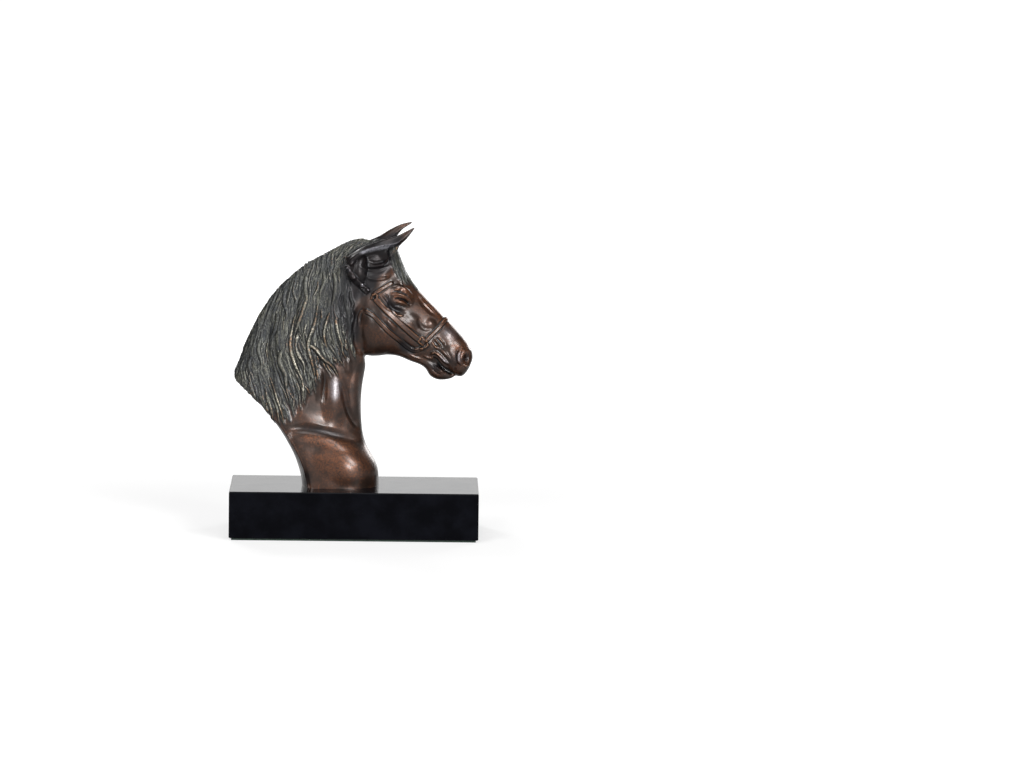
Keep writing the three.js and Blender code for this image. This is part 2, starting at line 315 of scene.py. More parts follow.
def remeshed(points, faces, voxel, smoothing):
    """One skin over all the bodies: points in mm, quads, and the vertex pairs of the edges."""
    mesh = mesh_from("joining", points, faces)
    work = added("joining", mesh)
    remesh = work.modifiers.new("remesh", "REMESH")
    remesh.mode = "VOXEL"
    remesh.voxel_size = voxel * MM
    smooth = work.modifiers.new("smooth", "SMOOTH")
    smooth.iterations = smoothing
    evaluated = work.evaluated_get(bpy.context.evaluated_depsgraph_get())
    skin = evaluated.to_mesh()
    out = np.empty(len(skin.vertices) * 3, np.float32)
    skin.vertices.foreach_get("co", out)
    corners = np.empty(len(skin.loops), np.int32)
    skin.loops.foreach_get("vertex_index", corners)
    edges = np.empty(len(skin.edges) * 2, np.int32)
    skin.edges.foreach_get("vertices", edges)
    evaluated.to_mesh_clear()
    bpy.data.objects.remove(work)
    bpy.data.meshes.remove(mesh)
    return out.reshape(-1, 3).astype(float) / MM, corners.reshape(-1, 4), edges.reshape(-1, 2)


def normals_of(points, quads):
    """The skin's direction at each point, from the quads round it."""
    a, b, c, d = (points[quads[:, k]] for k in range(4))
    face = np.cross(c - a, d - b)
    total = np.zeros_like(points)
    for axis in range(3):
        for k in range(4):
            total[:, axis] += np.bincount(quads[:, k], face[:, axis], len(points))
    return total / np.maximum(np.linalg.norm(total, axis=1, keepdims=True), 1e-12)


def relaxed(points, edges, rounds):
    """The points after each has moved to the middle of its neighbours, as often as asked."""
    a, b = edges[:, 0], edges[:, 1]
    degree = np.bincount(edges.ravel(), minlength=len(points))[:, None]
    for _ in range(rounds):
        total = np.empty_like(points)
        for axis in range(points.shape[1]):
            total[:, axis] = np.bincount(a, points[b, axis], len(points))
            total[:, axis] += np.bincount(b, points[a, axis], len(points))
        points = 0.5 * points + 0.5 * total / degree
    return points


# ---------------------------------------------------------------- relief maps

def bell(u):
    """A soft swell. Each profile takes the square of the share of the way from the middle to the edge."""
    return (1 - u) ** 2


def strap(u):
    """A flat top with rounded edges."""
    return smooth_step((1 - np.sqrt(u)) / 0.4)


def smooth_step(t):
    """From 0 to 1 with soft ends."""
    t = np.clip(t, 0, 1)
    return t * t * (3 - 2 * t)


class Relief:
    """Heights over one side of the casting, in mm, on a fine grid over X and the height as seen."""

    STEP, LEFT, RIGHT, BOTTOM, TOP = 0.16, -80.0, 80.0, 22.0, 192.0
    SPACING = 1.1  # about how far apart the points of a stroke's line are

    def __init__(self):
        self.xs = np.arange(self.LEFT, self.RIGHT, self.STEP)
        self.zs = np.arange(self.BOTTOM, self.TOP, self.STEP)
        self.height = np.zeros((len(self.zs), len(self.xs)))

    def nearest(self, line, reach):
        """The grid's part near a line, each of its points' distance from the line, with the line's left
        side above zero, and how far along the line its nearest point is, from 0 to 1."""
        low, high = line.min(0) - reach, line.max(0) + reach
        i0, i1 = np.searchsorted(self.xs, (low[0], high[0]))
        j0, j1 = np.searchsorted(self.zs, (low[1], high[1]))
        xs, zs = self.xs[i0:i1], self.zs[j0:j1]
        best = np.full((len(zs), len(xs)), 1e6)
        side = np.ones_like(best)
        along = np.zeros_like(best)
        for k, ((px, pz), (qx, qz)) in enumerate(zip(line[:-1], line[1:])):
            ax, az = qx - px, qz - pz
            a0, a1 = np.searchsorted(xs, (min(px, qx) - reach, max(px, qx) + reach))
            b0, b1 = np.searchsorted(zs, (min(pz, qz) - reach, max(pz, qz) + reach))
            if a0 >= a1 or b0 >= b1:
                continue
            dx, dz = (xs[a0:a1] - px)[None, :], (zs[b0:b1] - pz)[:, None]
            share = np.clip((dx * ax + dz * az) / max(ax * ax + az * az, 1e-9), 0, 1)
            gap = (dx - share * ax) ** 2 + (dz - share * az) ** 2
            part = (slice(b0, b1), slice(a0, a1))
            closer = gap < best[part]
            best[part] = np.where(closer, gap, best[part])
            side[part] = np.where(closer, np.where(dz * ax > dx * az, 1, -1), side[part])
            along[part] = np.where(closer, k + share, along[part])
        return (slice(j0, j1), slice(i0, i1)), np.sqrt(best) * side, along / (len(line) - 1)

    def stroke(self, knots, width, height, fade=(0.35, 0.35), shape=bell):
        """A ridge along a smooth line, or a groove where the height is below zero.
        width is half the ridge's width, one number or several spaced evenly along it.
        fade is the share of its length over which each end sinks away."""
        knots = np.asarray(knots, float)
        length = np.linalg.norm(np.diff(knots, axis=0), axis=1).sum()
        widths = np.atleast_1d(width).astype(float)
        line = through(knots, max(4, int(length / self.SPACING)))
        part, distance, along = self.nearest(line, widths.max())
        rise = np.ones_like(along)
        for share, way in ((fade[0], along), (fade[1], 1 - along)):
            if share:
                rise *= smooth_step(way / share)
        reach = np.interp(along, np.linspace(0, 1, len(widths)), widths) * (0.5 + 0.5 * rise)
        self.height[part] += rise * shape(np.minimum((distance / reach) ** 2, 1)) * height

    def strokes(self, *several):
        """Many strokes: (knots, width, height), with a fade and a shape where they aren't the usual."""
        for one in several:
            self.stroke(*one)

    def belt(self, knots, half, height, fade=(0.03, 0.03)):
        """A strap with a fine groove along both of its sides."""
        depth, margin = 0.45, 1.2
        self.stroke(knots, half + margin, -depth, fade)
        self.stroke(knots, half, height + depth, fade, strap)

    def mound(self, x, z, radius_x, radius_z, height, turn=0):
        """An oval rise, or a dent where the height is below zero, turned by degrees."""
        reach = max(radius_x, radius_z)
        i0, i1 = np.searchsorted(self.xs, (x - reach, x + reach))
        j0, j1 = np.searchsorted(self.zs, (z - reach, z + reach))
        c, s = math.cos(math.radians(turn)), math.sin(math.radians(turn))
        dx, dz = self.xs[None, i0:i1] - x, self.zs[j0:j1, None] - z
        u = ((dx * c + dz * s) / radius_x) ** 2 + ((dz * c - dx * s) / radius_z) ** 2
        self.height[j0:j1, i0:i1] += bell(np.minimum(u, 1)) * height

    def mounds(self, *several):
        """Many mounds: each is (x, z, its two radii, height), then its turn if it has one."""
        for one in several:
            self.mound(*one)

    def at(self, x, z):
        """Heights at places on the side, read between grid points."""
        i = np.clip((x - self.LEFT) / self.STEP, 0, len(self.xs) - 1.001)
        j = np.clip((z - self.BOTTOM) / self.STEP, 0, len(self.zs) - 1.001)
        i0, j0 = i.astype(int), j.astype(int)
        u, v = i - i0, j - j0
        h = self.height
        below = h[j0, i0] * (1 - u) + h[j0, i0 + 1] * u
        above = h[j0 + 1, i0] * (1 - u) + h[j0 + 1, i0 + 1] * u
        return below * (1 - v) + above * v


# ---------------------------------------------------------------- soft forms of each side

# Lines on the near side that are sunk in the skin and also painted near-black as painted shade.
FOOT_CREASE = [(-42, 62.5), (-31, 63.5), (-20, 61.8), (-8, 59), (5, 55)]
LID_GROOVE = [(20.5, 146.8), (24.5, 147.6), (28.5, 146.4), (33.5, 142.6)]
EYE_SLIT = [(22, 142.7), (25.5, 143.2), (29.5, 141.9), (33.2, 139.2)]
# The nostril: its middle (x, z) and its turn in degrees.
NOSTRIL, NOSTRIL_TURN = (67.3, 107.6), -16


def head_forms(side):
    """The soft masses of the head that both sides share: cheek, temple, ear root, nose, nostril, lip."""
    side.mounds(
        (14, 124, 15, 14, 1.3),
        (22, 157, 7, 5, -0.8, 40),
        (11.5, 164, 12, 7, -1.8, 25),
        (56, 122, 8, 6, 1.1, -40),
        (66, 109, 6.5, 7, 1.1),
        (52, 99, 6, 4.5, 0.7),
    )
    side.strokes(
        ([(4, 141), (0.5, 131), (-0.5, 122), (1, 114), (4.5, 108)], 3.8, -1.7, (0.3, 0.15)),
        ([(24, 118.5), (31, 113.5), (38, 110)], 3.6, -1.0),
        ([(37, 144), (43, 138), (49, 132)], 2.6, -0.8),
        ([(44, 120), (50, 115.5), (57, 112)], 4.0, -0.6),
        ([(58, 116), (60.5, 110), (61, 103)], 3.0, -0.3),
    )


def near_forms():
    """The near side's neck muscles, the swells of the mane, the foot and the bones round the eye."""
    side = Relief()
    head_forms(side)
    side.strokes(
        ([(-13, 110), (-12.2, 92), (-12.2, 78), (-13, 58)], 10.5, 2.8, (0.75, 0.5)),
        ([(-21.5, 104), (-21.5, 92), (-22.5, 78)], 3.6, 1.7, (0.5, 0.6)),
        ([(-29.5, 96), (-30, 87), (-31, 74)], 3.4, 1.3, (0.5, 0.6)),
        ([(-18.6, 99), (-18.6, 88), (-19, 76)], 2.4, -0.9),
        ([(-9.6, 95), (-7.6, 86), (-5.3, 77.4), (-2, 70), (3, 62)], 2.6, -1.5, (0.3, 0.2)),
        ([(2, 104), (-0.2, 90), (0.6, 76), (4, 66)], 3.4, 0.8),
        ([(-4, 108), (-4.5, 102), (-4, 95)], 3.0, 0.9),
        (FOOT_CREASE, 4.0, -1.1, (0.25, 0.2)),
        ([(-42, 57), (-26, 56.5), (-12, 54), (4, 50)], 5.5, 0.7, (0.1, 0.5)),
        ([(-41, 142), (-44, 122), (-43, 102), (-37, 84)], 6.0, 0.9),
        ([(-29, 152), (-31, 132), (-29, 112)], 5.0, 0.8),
        ([(-57, 130), (-61, 112), (-59, 96)], 5.0, 0.6),
        ([(-35, 146), (-37, 126), (-35.5, 106), (-31, 92)], 3.0, -0.8),
        ([(-50, 138), (-53, 116), (-51, 96), (-46, 80)], 3.2, -0.8),
        ([(-22, 142), (-23.5, 124), (-21, 108)], 3.2, -0.9),
        ([(-9, 150), (-9, 135), (-10, 118)], 3.0, -0.7),
        ([(0, 163), (7, 160.5), (14, 161), (21, 163.5)], 1.8, 0.9),
        ([(4, 157.5), (9, 154.8), (16, 155), (22, 157.5)], 1.6, 0.7),
        ([(5, 166.5), (12, 165), (19, 167)], 1.5, -0.6),
        ([(16.5, 132.5), (21, 127.5), (25.5, 123)], 2.4, 0.9),
        ([(25, 134), (31, 128.5), (37, 123.5)], 2.0, 0.5),
    )
    side.mounds(
        (-2, 41.5, 25, 15, 2.5, -14),
        (-26, 34, 12, 12, -0.8),
        (27.5, 143.8, 8.5, 7.0, 1.9, -20),
        (34, 130, 7, 5, 0.9, -35),
        (45.3, 128.2, 4.4, 3.4, 0.9, -35),
    )
    side.stroke([(37.5, 132), (38.2, 128), (41.5, 125), (46.5, 124.6)], 2.2, -0.7)
    side.stroke([(19.5, 143.5), (20.5, 138.5), (25.5, 135.4), (31, 134.8)], 2.4, -1.4)
    return side


def far_forms():
    """The far side's long neck muscles and valleys, the foot's folds and the eye."""
    side = Relief()
    head_forms(side)
    side.strokes(
        ([(-24, 152), (-39, 135), (-48, 121), (-53, 106), (-55, 90)], 9.0, 2.2, (0.3, 0.1)),
        ([(-19, 149), (-30, 138), (-40, 124.5), (-46.3, 111), (-49.5, 98), (-51, 87)],
         3.2, -1.9, (0.2, 0.55)),
        ([(-24, 137), (-31, 127.5), (-38.2, 115), (-42.5, 103), (-46, 91), (-50.5, 81)],
         (4.4, 4.4, 3.6, 2.2), 2.0, (0.3, 0.2)),
        ([(-14, 146), (-22, 133), (-26.5, 120), (-27, 108)], 4.2, 1.2),
        ([(-30, 122), (-33, 106), (-37, 90), (-41, 80)], 5.0, -1.0, (0.4, 0.6)),
        ([(-20.5, 128), (-21, 112), (-21.5, 95), (-24.5, 77), (-22.5, 64)], 4.0, 1.7),
        ([(-27, 116), (-27.3, 100), (-28.5, 84)], 3.4, -1.1, (0.4, 0.6)),
        ([(-12.5, 118), (-14.5, 105), (-10.5, 90)], 4.2, 1.5),
        ([(-17, 108), (-17, 92), (-16.5, 76)], 3.0, -1.1),
        ([(-7, 104), (-4, 88), (-1.5, 72), (4, 58)], 3.4, -1.7, (0.25, 0.15)),
        ([(2.5, 104), (1, 90), (1.2, 76), (4, 66)], 3.2, 0.7),
        ([(-30, 61), (-12, 59), (0, 56), (8, 50)], 3.6, -1.0, (0.5, 0.3)),
        ([(-29, 55), (-12, 56), (4, 50)], 4.0, 1.4),
        ([(-27, 51), (-12, 51.5), (4, 46)], 2.8, -0.6, (0.5, 0.4)),
        ([(-16, 45), (-4, 45.5), (7, 39)], 7.5, 1.8, (0.5, 0.4)),
        ([(-8, 144), (-14, 141), (-17, 134), (-20, 126)], 1.8, 0.9),
        ([(-4.5, 142), (-6, 130), (-5, 118)], 2.6, 0.8),
        ([(-13.5, 121), (-11.5, 113), (-8.5, 107)], 1.2, 0.8),
        ([(5, 139), (4.6, 131), (5.5, 124)], 4.2, 1.1),
    )
    side.mounds(
        (-10, 33, 6, 3, -0.6),
        (29, 144.5, 7.5, 6, 1.1, -20),
        (31, 144, 3.2, 3.0, 1.1),
        (30.5, 138.5, 4.5, 2.6, 0.8),
    )
    return side


# ---------------------------------------------------------------- sharp details of each side

# The raised rims of the flat cut behind the neck.
NEAR_CUT_EDGE = [(-60, 82.7), (-52, 73.3), (-44, 63.6), (-38, 54.8), (-33.5, 46.5), (-30.3, 38.5)]
NEAR_CUT_EDGE += [(-27.6, 27)]
FAR_CUT_EDGE = [(-50, 78), (-40, 65), (-33, 55), (-29.5, 45), (-28.3, 35), (-28, 27)]


def lips_and_nostril(side):
    """The mouth's line, the lips' folds, the creases of the muzzle and the nostril, on either side."""
    side.strokes(
        ([(46, 108.3), (49.5, 104.8), (53, 101.3), (57.5, 98.3), (61, 96.6)], 1.5, -1.6, (0.2, 0.3)),
        ([(44.5, 109), (47.5, 110.8), (51, 108.6), (54, 105.4), (57.5, 102.8)], 1.3, 1.4, (0.15, 0.3)),
        ([(49, 106.5), (53, 103), (57, 100.5)], 1.0, 0.6),
        ([(46.5, 104), (50, 100.5), (54.5, 97.5)], 1.1, 0.7),
        ([(45.5, 101.5), (48.5, 98.5), (52.5, 96.2)], 0.9, -0.5),
        ([(46, 115), (50, 113.5), (54, 110), (58, 105)], 1.5, 0.9),
        ([(46.5, 119.8), (49.5, 116.6), (52.5, 113.2)], 0.8, 0.9),
        ([(48.5, 120.5), (51.8, 117.8), (54.5, 114)], 0.8, 0.7),
        ([(45, 118), (47.5, 114.5), (50.5, 111.5)], 0.8, 0.7),
        ([(61.5, 105), (59.8, 101.5), (60, 97.5)], 1.5, -0.6),
        ([(64.6, 102.4), (62.4, 105.2), (62.1, 109.2), (63.8, 112.4), (66.8, 113.4)],
         1.7, 1.1, (0.3, 0.5)),
        ([(64.8, 103), (67.2, 102.6), (69.3, 104.5)], 1.2, 0.7),
        ([(66.8, 111.2), (68.3, 109.4), (68.8, 106.8)], 0.8, 0.6),
    )
    side.mound(*NOSTRIL, 3.3, 5.2, -3.4, NOSTRIL_TURN)
    side.mound(67.2, 107, 2.2, 3.6, -0.8, NOSTRIL_TURN)


def near_eye(side):
    """The near eye: brow, lids, slit and the folds round them."""
    side.strokes(
        ([(18.5, 148.6), (22, 150.4), (26.5, 150), (31, 147.6), (35, 143.2)], 1.7, 1.1),
        (LID_GROOVE, 0.9, -1.0),
        ([(21, 144.8), (25, 145.6), (29.5, 144.2), (34, 140.8)], 1.2, 0.9),
        (EYE_SLIT, 0.9, -1.4, (0.3, 0.15)),
        ([(21.5, 140.6), (25.5, 141.2), (29.5, 139.8), (32.5, 137.6)], 1.2, 0.9),
        ([(22, 138.7), (26, 138.8), (30, 137)], 0.8, -0.7),
        ([(15.5, 145.5), (18, 142.5), (20, 138.5)], 1.0, 0.8),
        ([(17.5, 146), (20, 143)], 0.8, 0.6),
        ([(16, 138.8), (21, 135.6), (26.5, 133.6)], 0.9, 0.6),
        ([(22, 135), (26, 132.6), (30, 132.8)], 0.8, 0.6),
        ([(36, 147), (41, 140.6), (48, 133.4)], 0.8, 0.4),
    )
    side.mounds(
        (24.6, 148.4, 2.6, 1.5, 0.7, 15),
        (29.4, 146.6, 2.4, 1.5, 0.6, -25),
        (26, 143.4, 1.6, 1.0, 0.4, -10),
    )


def far_eye(side):
    """The far eye, with the same parts drawn as the far side shows them."""
    side.strokes(
        ([(18.8, 149), (22.5, 151.3), (28, 151.8), (32.4, 149)], 2.0, 1.5),
        ([(21.5, 152.8), (26, 153.3), (30, 152.6)], 0.9, 0.6),
        ([(20.5, 146.8), (25, 146.6), (29.5, 147.4), (33.8, 148), (35.2, 145.5)], 1.0, -1.5),
        ([(27, 145.5), (29, 147), (32, 146.2), (34.2, 143.4)], 0.8, 0.7),
        ([(27.2, 144.4), (28, 141.8), (31, 140.9), (34, 142.8)], 0.9, 0.9),
        ([(29.5, 142.4), (31.5, 142), (33.4, 143.6)], 0.6, -0.6),
        ([(24, 145), (25.5, 141), (28.5, 136.5)], 1.0, -0.8),
        ([(17, 147.5), (19.5, 143.5)], 0.9, 0.9),
        ([(19.5, 146.5), (22.3, 143.6)], 0.8, 0.8),
        ([(22.5, 142), (24.4, 138.8)], 0.8, 0.6),
        ([(40.5, 143), (45, 137.5), (50.5, 131.5)], 0.9, 0.6),
    )


def near_bridle(side):
    """Straps, buckles and the bit's ring on the near side, and the lumps of the headstall by the ear."""
    cheekpiece = [(11, 143.5), (19.5, 134.3), (29, 125.8), (37, 119), (42, 115.8)]
    throat_strap = [(4, 136.3), (10, 132.8), (15, 127.8), (20, 122.8), (27, 117.2), (31, 113.8)]
    throat_strap += [(35, 111.8), (41, 113.2)]
    side.belt(throat_strap, 1.5, 0.9, (0.06, 0.02))
    side.belt(cheekpiece, 2.0, 1.2)
    side.belt([(-8, 164), (-3.5, 157.5), (2, 151.5), (8, 146.4)], 2.2, 1.1, (0.1, 0.05))
    side.mounds(
        (-6.5, 161, 2.4, 1.8, 1.0, 30),
        (-3.2, 164.5, 2.0, 2.6, 1.1),
        (-1.5, 156, 2.6, 1.6, 1.1, -40),
        (3.6, 151.4, 2.4, 1.9, 1.2, -30),
        (7.2, 148.2, 1.8, 1.4, 0.8),
    )
    side.belt([(9.5, 145), (15, 148.6), (22.5, 153.2)], 1.3, 1.0, (0.02, 0.1))
    side.belt([(42.2, 117.2), (46, 121.4), (50, 125.4), (54, 131), (56, 135)], 1.3, 1.1, (0.02, 0))
    side.strokes(
        ([(12.5, 146.8), (20.6, 136.6), (25, 132.2), (33, 125.8), (41, 121)], 0.7, 0.7),
        ([(9.2, 142.3), (9.8, 144.6), (12, 145.6), (13, 143.6)], 0.9, 1.3, (0.05, 0.05), strap),
        ([(37.6, 117.6), (39.5, 119.8), (43, 116.4), (41.4, 114.4), (38.2, 116.8)],
         0.8, 1.2, (0, 0), strap),
        ([(38.5, 113), (42, 113.6), (44, 116)], 0.9, 0.9, (0.05, 0.05), strap),
        ([(40.5, 108.8), (43.5, 107.6), (46, 107.4), (46.8, 109.6)], 0.8, 1.0),
        ([(4.2, 136.4), (2, 133), (1.4, 128), (1.4, 122)], 1.2, 0.8, (0.1, 0.7)),
        ([(31, 109.5), (36, 107.5), (41, 106)], 0.8, 0.5),
    )


def far_bridle(side):
    """Straps, buckles and the bit's ring on the far side."""
    side.belt([(8, 144), (20, 132.5), (30, 121.5), (37, 114), (43, 112.8)], 1.5, 1.2)
    side.belt([(13, 145), (25, 134), (33, 126), (41, 118.5)], 1.4, 1.2)
    side.belt([(21.5, 160.5), (16, 153.5), (12, 148.5)], 1.2, 1.0, (0.05, 0.05))
    side.belt([(15, 161), (10.5, 153), (6.5, 145.5)], 1.3, 1.1, (0.05, 0.05))
    side.belt([(43, 117), (48, 122.6), (54, 130), (56, 134)], 1.4, 1.0, (0.02, 0))
    side.strokes(
        ([(24.5, 137), (31, 131.2), (39.5, 124.5)], 0.8, 1.0),
        ([(27.5, 137), (33, 132.2), (40, 126)], 0.6, 0.6),
        ([(42.3, 112), (43.4, 107.8), (46.5, 106.8), (48, 108.6), (45, 109.6)], 1.1, 1.3, (0, 0.1), strap),
        ([(37.5, 119.8), (41.5, 116), (43.5, 118)], 0.9, 1.0, (0.05, 0.05), strap),
        ([(0.8, 138.5), (-0.4, 130), (0.2, 122), (2, 113), (4, 109)], 1.0, 1.0, (0.1, 0.5)),
        ([(2.6, 138), (1.4, 130), (1.8, 123)], 0.9, 0.6),
    )


# ---------------------------------------------------------------- hair

# Guide lines of the mane on the near side, from the poll back to the corner, each from the crest down.
MANE = [
    [(-4, 179), (-8, 170), (-10, 160), (-10, 150), (-9, 140), (-8, 131), (-7.5, 122), (-6.5, 112)],
    [(-10, 177), (-13, 166), (-14, 155), (-13, 143), (-12, 132), (-10, 121), (-7.5, 112), (-5, 106)],
    [(-15, 175), (-17, 163), (-18, 151), (-20, 139), (-20, 126), (-18, 114), (-14, 104), (-9.5, 95)],
    [(-20, 172.5), (-23, 160), (-25, 148), (-27, 135), (-27, 121), (-25, 109), (-23, 100), (-21, 92)],
    [(-26, 169.5), (-29, 157), (-31, 145), (-34, 132), (-34, 118), (-30, 105), (-27, 96), (-25, 84)],
    [(-31, 166.5), (-35, 153), (-38, 140), (-40, 126), (-40, 113), (-36, 101), (-33, 89), (-31, 77)],
    [(-36, 163), (-41, 149), (-45, 136), (-47, 122), (-46, 108), (-42, 95), (-38.5, 83), (-36, 71)],
    [(-41, 158.5), (-46.5, 144), (-51, 131), (-53, 117), (-52, 104), (-48, 90), (-44, 77), (-40.5, 65)],
    [(-46, 153.5), (-52, 138), (-56.5, 125), (-58.5, 112), (-58, 100), (-54, 88), (-50, 76), (-46, 65)],
    [(-51, 147.5), (-57, 133), (-61.5, 120), (-64, 108), (-64, 98), (-60.5, 88), (-57, 79), (-53, 71)],
    [(-56, 140.5), (-61.5, 127), (-66, 114), (-69, 103), (-69.5, 95), (-68, 89), (-66, 85), (-64, 82)],
    [(-61, 133), (-66, 121), (-70, 110), (-73, 100), (-74, 94), (-73, 90), (-72, 88), (-70, 86)],
]
# The thin stray hair in front of the mane.
FRINGE = [
    [(-7, 166), (-8, 157), (-8.5, 148), (-8, 139), (-7.5, 130), (-7, 121), (-5.5, 112), (-3, 103)],
    [(-4, 157), (-4, 151), (-3, 145), (-1.5, 138), (-1.5, 130), (-2, 121), (-1.5, 113), (0, 106)],
]
# The hair over the poll, between the ear and the crest.
POLL = [
    [(17, 177.5), (11, 176.5), (5, 174.5), (-1, 171.5), (-6, 166), (-8, 158)],
    [(18, 180), (9, 180), (1, 178.5), (-6, 174), (-11, 167), (-13, 158)],
    [(14, 182.5), (4, 182), (-4, 180), (-11, 175), (-16, 168), (-18, 159)],
]
# The forelock, from between the ears down the forehead.
FORELOCK = [
    [(20, 176), (21, 170), (22, 164), (24, 157), (26, 151)],
    [(23, 176), (24, 170), (26, 162), (29, 154), (33, 149)],
    [(25, 175), (27.5, 168), (30.5, 161), (34, 154), (38, 148)],
]
# The hair on the far side of the poll and the narrow band behind the crest.
FAR_POLL = [
    [(14, 178), (6, 175), (-1, 170.5), (-5, 163), (-7, 155), (-7, 148)],
    [(12, 181), (1, 178.5), (-6, 171), (-10, 163), (-12, 156), (-13, 150)],
    [(4, 183), (-5, 179), (-12, 172), (-16, 163), (-18, 157), (-19, 152)],
    [(-4, 181), (-12, 176), (-20, 169), (-26, 162.5), (-31, 157), (-36, 152)],
]
# Wavy locks of the mane that stand proud of the rest: (knots, half width, height). The first ones are
# rubbed bright.
BRIGHT_LOCKS = [
    ([(-35.3, 134), (-38.3, 125), (-39.3, 113), (-36.3, 102), (-31.5, 92), (-30.7, 82)], 1.5, 1.7),
    ([(-29.7, 142), (-32.7, 132), (-36.8, 119.5), (-38.8, 115)], 1.3, 1.4),
    ([(-22.6, 140), (-24.6, 129), (-28.4, 114), (-26.4, 105), (-24.6, 96), (-25.6, 87)], 1.5, 1.7),
    ([(-15.5, 135), (-19, 122), (-18.4, 116), (-16.5, 111)], 1.3, 1.5),
    ([(-52.5, 116), (-53.5, 110), (-52.5, 104)], 1.2, 1.4),
    ([(-28.6, 114.5), (-24.6, 112.3), (-19.5, 106), (-14.5, 102), (-10.4, 95.5)], 1.4, 2.0),
    ([(-52, 95), (-49, 87.7), (-46.4, 79.5), (-43.9, 72), (-42.6, 66)], 1.2, 1.9),
    ([(-34.3, 122), (-35.3, 113), (-33.7, 108), (-30.7, 102), (-31.2, 93)], 1.2, 1.5),
    ([(-12.4, 131), (-11.6, 126), (-9.8, 119), (-7.4, 112)], 1.1, 1.3),
]
LOCKS = [
    ([(-29.7, 157), (-30.7, 149), (-29.7, 142), (-31.5, 136)], 1.3, 1.3),
    ([(-13.5, 159), (-12.4, 152), (-13.5, 142), (-15.5, 135)], 1.3, 1.3),
    ([(-46.9, 134), (-47.4, 128), (-49, 121.5), (-52, 115)], 1.3, 1.3),
    ([(-42, 150), (-43.5, 141), (-41.5, 133), (-43.5, 124)], 1.2, 1.3),
    ([(-20, 161), (-19, 153), (-21.5, 146), (-20.5, 139)], 1.2, 1.3),
    ([(-57, 119), (-58.5, 111), (-56.5, 103), (-57, 95)], 1.2, 1.3),
    ([(-44, 112), (-45.5, 104), (-42, 96), (-41, 86), (-38, 77)], 1.3, 1.5),
    ([(-8, 147), (-10, 140), (-9, 133), (-11, 126)], 1.1, 1.2),
    ([(-36, 154), (-37.5, 147), (-36, 141), (-38.5, 134)], 1.1, 1.2),
    ([(-62, 108), (-64, 101), (-62, 95), (-60, 89)], 1.1, 1.2),
]


